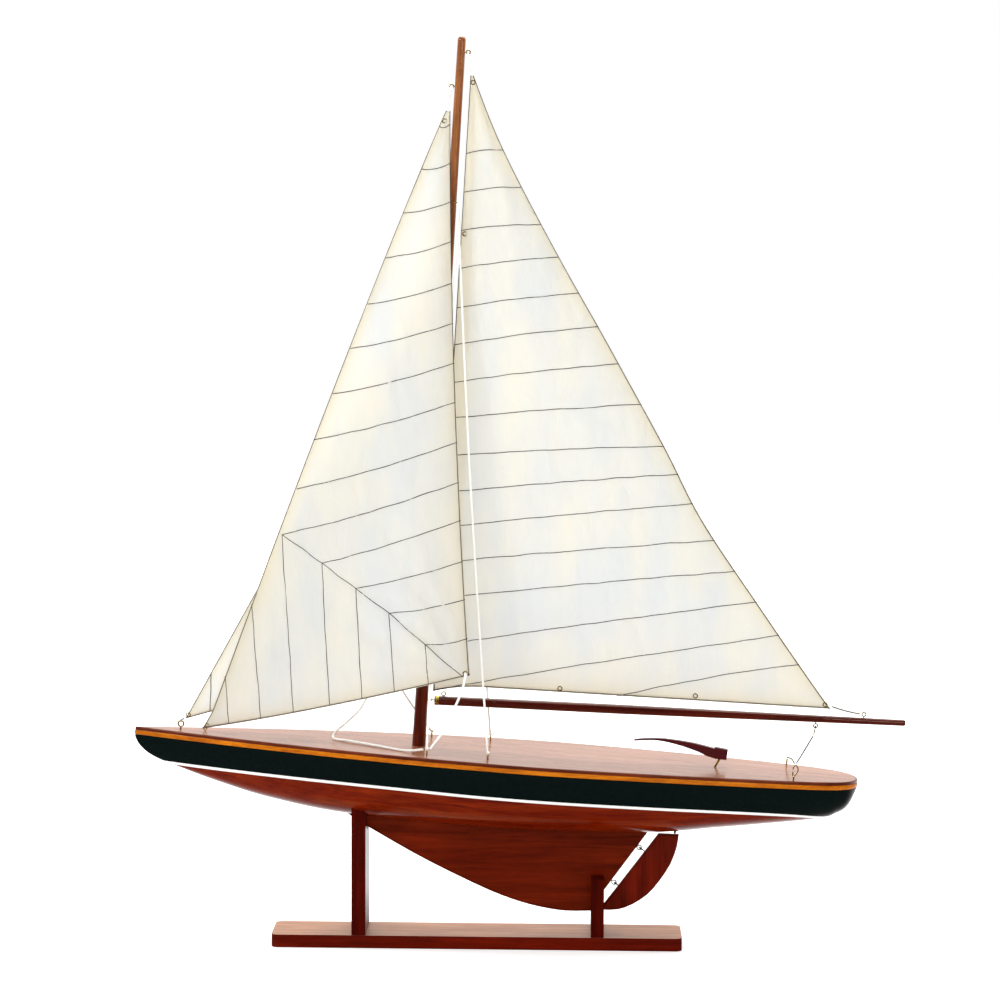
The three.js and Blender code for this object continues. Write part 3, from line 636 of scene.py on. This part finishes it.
def make_spars():
    """Mast, straight to the deck and then tapered to a rounded tip, and boom, thickest before its middle."""
    profile = [(MAST_LOW_RADIUS, 0), (MAST_LOW_RADIUS, -MAST_FOOT)]
    shaft, tip = 24, 6
    for k in range(1, shaft + 1):
        t = k / shaft
        profile.append((lerp(MAST_LOW_RADIUS, MAST_TOP_RADIUS, t), (MAST_TOP - MAST_TIP) * t - MAST_FOOT))
    for k in range(1, tip + 1):
        a = math.pi / 2 * k / tip
        radius = MAST_TOP_RADIUS * math.cos(a) ** 0.6 if k < tip else 0
        profile.append((radius, MAST_TOP - MAST_FOOT - MAST_TIP + MAST_TIP * math.sin(a)))
    mast = lathe(profile, (0, 0, MAST_FOOT), (0, 0, 1))
    new_piece("mast_spar", mast, [spar_wood_z], YACHT, ["mast"], 50)
    length = (BOOM_END - BOOM_START).length
    profile = [
        (3.0, 0), (3.6, 0.4), (3.9, 1.4), (4.06, length * 0.4),
        (2.6, length - 1.4), (2.3, length - 0.4), (1.8, length),
    ]
    boom = lathe(profile, BOOM_START, BOOM_END - BOOM_START)
    new_piece("boom_spar", boom, [spar_wood_x], BOOM_BODY, ["boom"], 50)


make_spars()


# ---- brass eyes ----
def eye_path(base, out, normal, height, ring, depth):
    """One bent wire: up from the wood, then round the ring to just short of where it began."""
    out, normal = Vector(out).normalized(), Vector(normal).normalized()
    side = normal.cross(out).normalized()
    centre = Vector(base) + out * height
    path = [Vector(base) - out * depth, Vector(base), centre - out * ring]
    turns = 26
    open_by = math.radians(18)
    for k in range(1, turns + 1):
        a = (2 * math.pi - open_by) * k / turns
        path.append(centre - out * ring * math.cos(a) + side * ring * math.sin(a))
    return path


def make_eye(name, base, out, normal, height=4.6, ring=2.1, wire=0.5, depth=5):
    """Screw eye: its ring's centre stands height off base, and its shank goes depth into the wood."""
    shape = tube_mesh(eye_path(base, out, normal, height, ring, depth), wire, 10)
    metal = dull_brass if name.startswith("rudder") else brass
    new_piece(name + "_wire", shape, [metal], BODY_OF[name], [name], 60)


def mast_radius_at(z):
    return lerp(MAST_LOW_RADIUS, MAST_TOP_RADIUS, max(0, z) / MAST_TOP)


FORE_AND_AFT, ATHWART, SQUARE_UP = (0, 1, 0), (1, 0, 0), (0, 0, 1)
CROSS_EYES = {  # low eyes whose rings stand square across the boat: x, y
    "sheet_eye_port": (9, -43), "sheet_eye_starboard": (9, 43),
    "shroud_eye_port": (60.2, -43), "shroud_eye_starboard": (60.2, 43),
    "traveller_eye_port": (317.3, -36.5), "traveller_eye_starboard": (317.3, 36.5),
}
for name, (x, y) in CROSS_EYES.items():
    make_eye(name, (x, y, deck_at(x)), SQUARE_UP, ATHWART, height=3.1, ring=1.7, wire=0.68)
bow_eye_at = (-204.2, 0, deck_at(-204.2))
tack_eye_at = (-183.3, 1.0, deck_at(-183.3))  # to starboard, so that the swung jib clears it
make_eye("bow_eye", bow_eye_at, SQUARE_UP, FORE_AND_AFT, height=5, ring=2.4, wire=0.75)
make_eye("jib_tack_eye", tack_eye_at, SQUARE_UP, FORE_AND_AFT, height=2.6, ring=1.5)
MAST_EYES = {  # height, way out of the mast, and square to the ring
    "masthead_eye": (591, (1, 0, 0), FORE_AND_AFT), "jib_halyard_eye": (562, (-1, 0, 0), FORE_AND_AFT),
    "outer_jib_halyard_eye": (430, (-0.8, 0.6, 0), SQUARE_UP),
    "mast_shroud_eye_port": (466, (0.6, -0.8, 0), SQUARE_UP),
    "mast_shroud_eye_starboard": (466, (0.6, 0.8, 0), SQUARE_UP),
}
for name, (z, out, normal) in MAST_EYES.items():
    base = Vector(out).normalized() * mast_radius_at(z) + Vector((0, 0, z))
    make_eye(name, base, out, normal, height=2.6, ring=1.7, wire=0.52, depth=2.2)
BOOM_EYES = {  # x, above (1) or below (-1), the boom's radius there, and height
    "boom_tack_eye": (18.5, 1, 3.9, 2.2),
    "outhaul_eye": (376.3, 1, 2.9, 3),
    "boom_sheet_eye": (336.1, -1, 3.2, 2.8),
}
for name, (x, side, radius, height) in BOOM_EYES.items():
    along_boom = (x - BOOM_START.x) / (BOOM_END.x - BOOM_START.x)
    base = BOOM_START.lerp(BOOM_END, along_boom) + Vector((0, 0, side * radius))
    make_eye(name, base, (0, 0, side), FORE_AND_AFT, height, ring=1.7, wire=0.52, depth=2.4)


def make_hinge(fixed, moving, centre, towards, axis, size):
    """Linked pair of eyes; size is the two rings' radii, the wire's, and the necks on both sides."""
    fixed_ring, moving_ring, wire, reach_back, reach_out = size
    at, out, along = Vector(centre), Vector(towards).normalized(), Vector(axis).normalized()
    sideways = along.cross(out).normalized()
    foot = at - out * (fixed_ring + reach_back)
    make_eye(fixed, foot, out, sideways, fixed_ring + reach_back, fixed_ring, wire, 3.2)
    foot = at + out * (2 * moving_ring + reach_out)
    make_eye(moving, foot, -out, along, moving_ring + reach_out, moving_ring, wire, 4)


RUDDER_ALONG = Vector((0.524, 0, 0.852)).normalized()
RUDDER_OUT = (0.852, 0, -0.524)
RUDDER_HINGE_AT = Vector((193.7, 0, -71.8))
RUDDER_HINGE, BOOM_HINGE = (1.9, 1.8, 0.52, 1, 0.9), (1.25, 1.45, 0.32, 0.85, 0.5)
for where, offset in (("upper", 0.0), ("lower", -37.2)):
    centre = RUDDER_HINGE_AT + RUDDER_ALONG * offset
    eye, hook = f"rudder_eye_{where}", f"rudder_hook_{where}"
    make_hinge(eye, hook, centre, RUDDER_OUT, RUDDER_ALONG, RUDDER_HINGE)
make_hinge("gooseneck_eye", "boom_gooseneck_hook", (7.6, 0, 44), (1, 0, 0), SQUARE_UP, BOOM_HINGE)
HOOK_ROUTE = [
    (336.1, -2.4, 43.6), (336.1, -0.6, 42.8), (336.1, 0.6, 43), (335.6, 0.2, 38.4), (334.8, 0, 35.6),
]
hook = tube_mesh(cord_line(HOOK_ROUTE, 0.4), 0.5, 10)
new_piece("sheet_hook_wire", hook, [brass], BOOM_BODY, ["sheet_hook"], 60)
LINK_ROUTE = [(x, CROSS_EYES["traveller_eye_port"][1], z) for x, z in (
    (316.6, 9.6), (316.3, 7.2), (317.3, 5.4), (318.6, 6.8), (320.6, 10.6), (320.2, 13.2), (318.2, 15.2),
    (316.6, 13.2), (316.4, 11.4),
)]
link = tube_mesh(cord_line(LINK_ROUTE, 0.3), 0.5, 10)
new_piece("traveller_link_wire", link, [brass], YACHT, ["traveller_link"], 60)
paint_node("rudder_stock", brass)
# Brass sleeve round the boom's fore end: radius, distance aft of that end.
FERRULE = [(3.2, -0.2), (4.05, 0.1), (4.15, 0.5), (4.15, 3.4), (4.05, 3.7)]
ferrule = lathe(FERRULE, BOOM_START, BOOM_END - BOOM_START, 32)
new_piece("boom_ferrule", ferrule, [brass], BOOM_BODY, (), 40)


# ---- sails ----
HEAD_WIDTH = 3  # of every sail's narrow top
CLOTH_THICKNESS = 0.3


# How far the mainsail's leech stands aft of its plain hollow, from head (0) to clew (1): it is cut unevenly.
LEECH_SHAPE = smooth([
    (0, -1), (0.11, -3.6), (0.28, 0), (0.42, 3.2), (0.58, 2), (0.7, -3.8), (0.84, -1.4), (1, 0),
], 70)
MAIN_HOLLOW = 19


def main_point(u, v):
    """Mainsail surface: u runs from luff to leech, v from head to foot. The tack corner hangs lower."""
    head, tack, clew, belly, tack_drop = (9.4, 572), (8.9, 51.3), (348, 58.6), 9, 6
    luff_x = lerp(head[0], tack[0], v)
    leech_x = lerp(head[0] + HEAD_WIDTH, clew[0], v) - MAIN_HOLLOW * bulge(v) + read_line(LEECH_SHAPE, v)
    foot_rise = tack_drop * (1 - (1 - min(1, max(0, u) * 8)) ** 2)
    foot_z = lerp(tack[1], clew[1] - tack_drop, u) + foot_rise
    y = -belly * bulge(u) * math.sin(math.pi * v)
    return Vector((lerp(luff_x, leech_x, u), y, lerp(head[1], foot_z, v)))


def jib_point(head, tack, clew, hollow, belly, side, foot_round=0.0, tack_flare=0.0, luff_round=0.0):
    """Jib surface over (u, v), its belly to side. tack_flare draws the tack corner forward to its eye."""
    head, tack, clew = Vector(head), Vector(tack), Vector(clew)
    flare_from = 0.965

    def point(u, v):
        luff = head.lerp(tack, v)
        luff.x -= luff_round * bulge(v ** 0.8)
        leech = (head + Vector((HEAD_WIDTH, 0, 0))).lerp(clew, v)
        leech.x -= hollow * bulge(v)
        made = luff.lerp(leech, u)
        made.y += side * belly * bulge(u) * math.sin(math.pi * v * 0.9)
        made.z -= foot_round * bulge(u) * v ** 4
        made.x -= tack_flare * (1 - u) ** 8 * max(0, (v - flare_from) / (1 - flare_from)) ** 1.5
        return made

    return point


def on_sail(point, x, z):
    """(u, v) where a sail's surface has the given x and z, by Newton's method."""
    u, v = 0.5, 0.5
    step = 1e-4
    for _ in range(30):
        here = point(u, v)
        ex, ez = x - here.x, z - here.z
        du, dv = (point(u + step, v) - here) / step, (point(u, v + step) - here) / step
        area = du.x * dv.z - dv.x * du.z
        if abs(area) < 1e-9 or abs(ex) + abs(ez) < 1e-4:
            break
        u = min(1.02, max(-0.02, u + (ex * dv.z - ez * dv.x) / area))
        v = min(1.02, max(-0.02, v + (ez * du.x - ex * du.z) / area))
    return min(1, max(0, u)), min(1, max(0, v))


def wrinkle(point, u, v, seed, corners, size):
    """Height of the cloth's creases, which is 0 at the edges: soft folds, crumple, and rays at the corners.

    corners lists x, z, how many rays go round a full turn, and how far they reach.
    """
    here = point(u, v)
    lean = here.x + 0.25 * here.z
    soft = noise.noise(Vector((lean / 24, here.z / 85, seed)))
    ridge = 1 - 2.4 * abs(noise.noise(Vector((lean / 17 + 7, here.z / 48, seed + 3))))
    fine = noise.fractal(Vector((here.x / 20 + 7, here.z / 30, seed + 5)), 0.8, 2.1, 3)
    crumple = 0.45 * ridge + 0.35 * fine
    rays = 0.0
    for cx, cz, count, reach in corners:
        dx, dz = here.x - cx, here.z - cz
        away = math.hypot(dx, dz)
        angle = math.atan2(dz, dx)
        near = math.exp(-away / reach) * min(1.0, away / 25)
        sway = 2.5 * noise.noise(Vector((angle * 3, away / 90, seed + 9)))
        rays += math.sin(angle * count + sway) * near
    held = min(1, 9 * u) * min(1, 9 * (1 - u)) * min(1, 12 * v) * min(1, 10 * (1 - v))
    return size * held * (1.2 * soft + crumple + 1.1 * rays)


THREAD_RADIUS = 0.36


class Sail:
    """A sail's cloth with its seams, hem thread and grommets. crease is how high its creases stand."""

    def __init__(
        self, name, cloth, point, body, node, columns, rows, seed, corners, crease, hollow,
        luff_round=0, luff_band=0,
    ):
        self.name, self.cloth, self.point, self.body, self.node = name, cloth, point, body, node
        self.columns, self.rows, self.seed, self.corners, self.crease = columns, rows, seed, corners, crease
        self.hollow, self.luff_round, self.luff_band = hollow, luff_round, luff_band
        self.pieces = []

    def surface(self, u, v):
        made = self.point(u, v)
        made.y += wrinkle(self.point, u, v, self.seed, self.corners, self.crease)
        return made

    def at(self, x, z):
        """Point on the creased cloth with this x and z."""
        return self.surface(*on_sail(self.point, x, z))

    def warmth(self, u, v):
        """How warm the cloth is, 0 to 1: its hems, and for the mainsail the sleeve along its luff."""
        width = (self.point(1, v) - self.point(0, v)).length
        drop = (self.point(u, 1) - self.point(u, 0)).length
        edge = min(u * width, (1 - u) * width, (1 - v) * drop)
        hem = 0.6 * math.exp(-edge / 6) + 0.1 * math.exp(-edge / 25)
        in_band = u * width < self.luff_band * (0.2 + 0.8 * v)
        return max(hem, 0.42) if in_band else hem

    def make(self):
        verts, hems = [], []
        for j in range(self.rows + 1):
            for i in range(self.columns + 1):
                u, v = i / self.columns, j / self.rows
                verts.append(place(self.surface(u, v)))
                hems.append(self.warmth(u, v))
        across = self.columns + 1
        faces = [
            (j * across + i, (j + 1) * across + i, (j + 1) * across + i + 1, j * across + i + 1)
            for j in range(self.rows) for i in range(self.columns)
        ]
        shape = (verts, faces)
        self.obj = new_piece(self.name, shape, [self.cloth], self.body, [self.node], 80)
        self.obj.data.attributes.new("hem", "FLOAT", "POINT").data.foreach_set("value", hems)
        solidify = self.obj.modifiers.new("cloth_thickness", "SOLIDIFY")
        solidify.thickness = CLOTH_THICKNESS * MM
        solidify.offset = 0

    def stitch(self, lines):
        """Thread lines through (x, z) points, laid on both faces of the cloth as one bar through it.

        Each wanders a little between its ends.
        """
        parts = []
        for points in lines:
            path = []
            for (xa, za), (xb, zb) in zip(points, points[1:]):
                count = max(2, round(math.hypot(xb - xa, zb - za) / 4))
                path += [self.at(lerp(xa, xb, k / count), lerp(za, zb, k / count)) for k in range(count)]
            path.append(self.at(*points[-1]))
            last = len(path) - 1
            for k, at in enumerate(path):
                freedom = min(1, k / 4, (last - k) / 4)
                wander = noise.noise(Vector((at.x / 16, at.z / 16, self.seed))) * freedom
                at.z += 0.9 * wander
                at.x += 0.5 * wander
            parts.append(tube_mesh(path, THREAD_RADIUS, 6))
        self.thread(parts, "_seams")

    def hem_lines(self):
        """Thread along the luff, the leech and the foot."""
        inset, steps = 0.004, 90
        shares = [k / steps for k in range(steps + 1)]
        luff, leech, foot = zip(*(((inset, t), (1 - inset, t), (t, 1 - inset / 2)) for t in shares))
        parts = [
            tube_mesh([self.surface(u, v) for u, v in edge], THREAD_RADIUS, 6) for edge in (luff, leech, foot)
        ]
        self.thread(parts, "_hem_thread")

    def thread(self, parts, suffix):
        made = new_piece(self.name + suffix, merged(parts), [seam_thread], self.body, (), 80)
        self.pieces.append(made)

    def grommets(self, points):
        ring, wire = 1.75, 0.5
        parts = []
        for x, z in points:
            centre = self.at(x, z)
            circle = [
                centre + Vector((ring * math.cos(a), 0, ring * math.sin(a)))
                for a in (2 * math.pi * k / 24 for k in range(25))
            ]
            parts.append(tube_mesh(circle, wire, 8))
        made = new_piece(self.name + "_grommets", merged(parts), [brass], self.body, (), 80)
        self.pieces.append(made)

    def declare(self):
        """Reads the sail's head, tack and clew points; nothing is made or kept from them.
        """
        corners = [self.point(0, 0), self.point(0, 1), self.point(1, 1)]


def seam_curve(start, end, sag, count=12):
    """Seam between two edge points with a slight sag in the middle."""
    return [
        (lerp(start[0], end[0], k / count), lerp(start[1], end[1], k / count) - sag * bulge(k / count))
        for k in range(count + 1)
    ]


LUFF, LEECH = 0, 1


def on_edge(point, edge, z):
    """(x, z) of a sail's luff or leech at height z, by halving."""
    low, high = 0.0, 1.0
    for _ in range(40):
        middle = (low + high) / 2
        if point(edge, middle).z > z:
            low = middle
        else:
            high = middle
    return point(edge, low).x, z


MAIN_LUFF_SEAMS = (507, 475, 443, 411, 378, 347, 315, 285, 253, 222, 192, 162, 131, 90, 52)
MAIN_LEECH_SEAMS = (512, 482, 452, 426, 397, 370, 340, 307, 273, 250, 226, 196, 171, 146, 119)
main = Sail(
    "mainsail_cloth", main_cloth, main_point, BOOM_BODY, "mainsail", columns=90, rows=130, seed=1.7,
    corners=[(9, 572, 16, 90), (348, 58, 14, 110), (10, 53, 12, 60)],
    crease=1.3, hollow=MAIN_HOLLOW, luff_band=22,
)
main.make()
main_seams = [
    seam_curve(on_edge(main_point, LUFF, a), on_edge(main_point, LEECH, b), sag=-1.6)
    for a, b in zip(MAIN_LUFF_SEAMS, MAIN_LEECH_SEAMS)
]
main_seams.append(seam_curve((166, 57.5), on_edge(main_point, LEECH, 95), sag=-2.5))
main.stitch(main_seams)
main.hem_lines()
main.grommets([(11.6, 566.4), (12.6, 440.4), (117, 61), (232.4, 62.4), (342.8, 62.1)])

INNER_HOLLOW, INNER_LUFF_ROUND = 4, 4
inner_point = jib_point(
    head=(-9, -5, 541.4), tack=(-182.4, -2.0, 6.2), clew=(41, -50, 75), hollow=INNER_HOLLOW, belly=8, side=-1,
    foot_round=1.7, tack_flare=3.4, luff_round=INNER_LUFF_ROUND,
)
inner = Sail(
    "inner_jib_cloth", inner_cloth, inner_point, INNER_BODY, "inner_jib", columns=80, rows=130, seed=5.3,
    corners=[(-9, 541, 14, 80), (41, 75, 18, 130), (-183, 13, 12, 80)],
    crease=2.0, hollow=INNER_HOLLOW, luff_round=INNER_LUFF_ROUND,
)
inner.make()
# Ends of the inner jib's seams. Above the mitre they run from luff to leech; below it, down to the foot.
INNER_LUFF = (
    (-14.6, 528.7), (-27.6, 492.2), (-40.7, 454.4), (-52.8, 416.1), (-65.2, 376.6),
    (-77.5, 338.5), (-90.4, 299.3), (-104.4, 259.5), (-116.1, 217), (-126.2, 177.5),
)
INNER_LEECH = (530.7, 498.3, 466.3, 433.4, 399, 365.9, 332.9, 300.6, 267.5, 234.4)
MITRE = ((-126.2, 177.5), (-90.1, 157), (-59.6, 138.8), (-30.5, 120.3), (1.9, 97.1), (35.4, 73.4))
MITRE_LEECH = (202.9, 169, 137.6, 105.4)
MITRE_FOOT = (-106.9, -76, -48.7, -21.5, 6.8)


def on_inner_foot(x):
    tack_x, clew_x = inner_point(0, 1).x, inner_point(1, 1).x
    return x, inner_point((x - tack_x) / (clew_x - tack_x), 1).z


inner_seams = [
    seam_curve(start, on_edge(inner_point, LEECH, z), sag=2.2) for start, z in zip(INNER_LUFF, INNER_LEECH)
]
inner_seams.append(list(MITRE))
inner_seams += [
    seam_curve(start, on_edge(inner_point, LEECH, z), sag=1.5, count=8)
    for start, z in zip(MITRE[1:5], MITRE_LEECH)
]
inner_seams += [
    seam_curve(start, on_inner_foot(x), sag=0, count=6) for start, x in zip(MITRE[:5], MITRE_FOOT)
]
for luff_z, foot_x in ((116.3, -134.9), (52.8, -162.4)):
    start = on_edge(inner_point, LUFF, luff_z)
    inner_seams.append(seam_curve(start, on_inner_foot(foot_x), sag=0, count=6))
inner.stitch(inner_seams)
inner.hem_lines()
inner.grommets([(-10, 533), (37.1, 76.4), (-181.6, 9.2)])

OUTER_HOLLOW = 3
outer_point = jib_point(
    head=(-8.5, 5, 415), tack=(-201, 2, 13), clew=(-34, 22, 68), hollow=OUTER_HOLLOW, belly=5, side=1,
)
outer = Sail(
    "outer_jib_cloth", outer_cloth, outer_point, OUTER_BODY, "outer_jib", columns=60, rows=100, seed=9.1,
    corners=[(-8, 415, 14, 80), (-34, 68, 12, 80), (-201, 13, 10, 60)], crease=1.1, hollow=OUTER_HOLLOW,
)
outer.make()
outer.stitch([seam_curve((-181, 54), (-180.5, 20.6), sag=0, count=5)])
outer.hem_lines()
outer.grommets([(-12, 406), (-198.6, 16.6), (-37, 70)])

for sail in (main, inner, outer):
    sail.declare()

# ---- cords ----
CORD, SHROUD, THREAD = 2.2, 1.9, 1.3
RIGGING = {  # route from its upper or fore end, and diameter
    "main_halyard": ([(5.4, -3.4, 586), (7, -21, 330), (8.6, -42.6, 9.7)], CORD),
    "shroud_port": ([(5.6, -8.4, 462.2), (30, -25, 240), (59.7, -42.7, 9.8)], SHROUD),
    "shroud_starboard": ([(5.6, 8.4, 462.2), (30, 25, 240), (59.7, 42.7, 9.8)], SHROUD),
    "main_head_lashing": ([(8.6, 0, 575.6), (8, 0, 580), (6.8, 0, 586.6)], 1.4),
    "jib_halyard": ([(-8.4, -3, 545.4), (-7.6, -2, 551), (-6.6, -0.8, 557.4)], 1.6),
    "outer_jib_halyard": ([(-7.6, 5, 417.6), (-6.8, 4.6, 420), (-6.4, 4.4, 425.4)], 1.4),
    "inner_jib_sheet": ([
        (37.6, -52, 75), (35.6, -50.6, 63.6), (30.6, -48, 48.2), (20.8, -45.3, 24.4), (11.6, -43.6, 9.8),
    ], CORD),
    "outer_jib_sheet": ([(-31.2, 23.2, 65.4), (-9, 34, 32), (7.9, 42.3, 9.9)], CORD),
    "lazy_sheet": ([
        (-35.4, 20.4, 64), (-41.5, 17, 52), (-47.4, 13, 40), (-53.2, 9.6, 29), (-63.6, 6, 18),
        (-72.4, 3, 9.4), (-73.4, -0.6, 5.5), (-60, -8, 5.3), (-36, -20.4, 5.2), (-8, -35, 5.2),
        (5.4, -42, 8.4),
    ], CORD),
    "mainsheet": ([(334.4, -0.6, 34.2), (326.5, -18, 24.9), (319, -35.2, 16.7)], THREAD),
    "outhaul": ([(348.6, 0, 60.8), (360, 0, 58), (372.8, 0, 56)], THREAD),
    "traveller_wire": ([(317.5, 35.8, 8.2), (318, 0, 13.4), (317.3, -34.6, 16.4)], THREAD),
    "outer_jib_tack_lashing": ([(-202, 2, 13.2), (-203.7, 1.8, 12.3), (-205.2, 1.5, 10.6)], THREAD),
}
THREADS = {"mainsheet", "outhaul", "traveller_wire", "outer_jib_tack_lashing"}
PAYS_OUT = {  # cord: the moving body at its upper end
    "mainsheet": BOOM_BODY, "main_head_lashing": BOOM_BODY, "inner_jib_sheet": INNER_BODY,
    "outer_jib_sheet": OUTER_BODY, "lazy_sheet": OUTER_BODY,
}
for name, (route, diameter) in RIGGING.items():
    thin = name in THREADS
    path = cord_line(route, 0.6)
    shape = tube_mesh(path, diameter / 2, lobes=0 if thin else 3, pitch=2.2 * diameter)
    moving = PAYS_OUT.get(name)
    piece = new_piece(
        name + "_line", shape, [thread_grey if thin else white_cord],
        None if moving else BODY_OF[name], [name], 80,
    )
    if moving:
        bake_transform(piece)


def knot_path(centre, size):
    """Small overhand knot as a closed trefoil, boat millimetres."""
    path = []
    for k in range(61):
        t = 2 * math.pi * k / 60
        path.append(Vector(centre) + Vector((
            math.sin(t) + 2 * math.sin(2 * t), -math.sin(3 * t), math.cos(t) - 2 * math.cos(2 * t),
        )) * size / 6)
    return path


KNOTS = {  # body: each knot's place and size
    YACHT: [
        ((9, -43, 9.3), 2.4), ((60, -43, 9.4), 2.2), ((60, 43, 9.4), 2.2), ((9, 43, 9.3), 2.4),
        ((-6.4, -1, 559.5), 3.2), ((6, -5, 588), 2.4), ((5.6, -8.2, 464), 2.4), ((5.6, 8.2, 464), 2.4),
    ],
    INNER_BODY: [((37.3, -52, 75.6), 2.0)],
}
for body, knots in KNOTS.items():
    shape = merged([tube_mesh(knot_path(at, size), size * 0.26, 8) for at, size in knots])
    new_piece(f"knots_{body}", shape, [white_cord], body, (), 80)


# ---- studio ----
def make_floor():
    """Pale floor. It looks white, and glossy surfaces see it fade out in front of the object."""
    half, just_under = 6.0, -0.0002
    mesh = bpy.data.meshes.new("floor")
    corners = [(-half, -half, 0), (half, -half, 0), (half, half, 0), (-half, half, 0)]
    mesh.from_pydata(corners, [], [(0, 1, 2, 3)])
    pale = Finish("floor_pale", 0.9, specular=0.0)
    ahead = pale.span(pale.axis(pale.coords, "Y"), 0.02, 0.2, 1.0, 0.0)
    ray = pale.node("ShaderNodeLightPath")
    unlit = pale.math("MULTIPLY", ahead, ray.outputs["Is Glossy Ray"])
    pale.set("Base Color", pale.mix(unlit, (0.93, 0.935, 0.935), (0.11, 0.095, 0.085)))
    pale.set("Emission Color", (1, 1, 1))
    pale.set("Emission Strength", pale.math("MULTIPLY", ray.outputs["Is Camera Ray"], 0.45))
    mesh.materials.append(pale.material)
    floor = bpy.data.objects.new("floor", mesh)
    bpy.context.scene.collection.objects.link(floor)
    floor.location.z = just_under


def make_world():
    """White all round to look at; as light, bright behind and above the object and dim in front of it."""
    world = bpy.data.worlds.new("studio")
    bpy.context.scene.world = world
    world.use_nodes = True
    nodes, links = world.node_tree.nodes, world.node_tree.links
    background = nodes["Background"]
    where = nodes.new("ShaderNodeTexCoord")
    lean = nodes.new("ShaderNodeVectorMath")
    lean.operation = "DOT_PRODUCT"
    lean.inputs[1].default_value = (0, 0.9, 0.45)
    links.new(where.outputs["Generated"], lean.inputs[0])
    span = nodes.new("ShaderNodeMapRange")
    for socket, value in (("From Min", -0.3), ("From Max", 0.5), ("To Min", 0.03), ("To Max", 1.0)):
        span.inputs[socket].default_value = value
    links.new(lean.outputs["Value"], span.inputs["Value"])
    seen = nodes.new("ShaderNodeLightPath")
    choose = nodes.new("ShaderNodeMix")
    links.new(seen.outputs["Is Camera Ray"], choose.inputs[0])
    links.new(span.outputs["Result"], choose.inputs[2])
    choose.inputs[3].default_value = 1.0
    links.new(choose.outputs[0], background.inputs["Strength"])
    background.inputs["Color"].default_value = (1, 1, 1, 1)


LIGHTS = (  # name, place, size, watts, and whether glossy surfaces mirror it
    ("top", (0.1, 0.5, 2.4), 2.0, 58, True),
    ("behind", (0.1, 2.4, 1.1), 2.2, 10, False),
    ("front", (0.0, -2.6, 1.5), 2.4, 34, False),
    ("key", (-1.5, -1.2, 1.5), 0.5, 15, True),
    ("streak", (1.3, -2.2, 1.0), 0.4, 5, True),
)


def make_lights():
    """Soft square lamps that all face the middle of the object."""
    aim = Vector((0, 0, 0.35))
    for name, at, size, watts, mirrored in LIGHTS:
        light = bpy.data.lights.new(name, "AREA")
        light.size = size
        light.energy = watts
        lamp = bpy.data.objects.new(name, light)
        lamp.location = at
        lamp.rotation_euler = (aim - Vector(at)).to_track_quat("-Z", "Y").to_euler()
        lamp.visible_camera = False
        lamp.visible_glossy = mirrored
        bpy.context.scene.collection.objects.link(lamp)


bpy.context.scene.view_settings.view_transform = "Standard"
make_floor()
make_world()
make_lights()
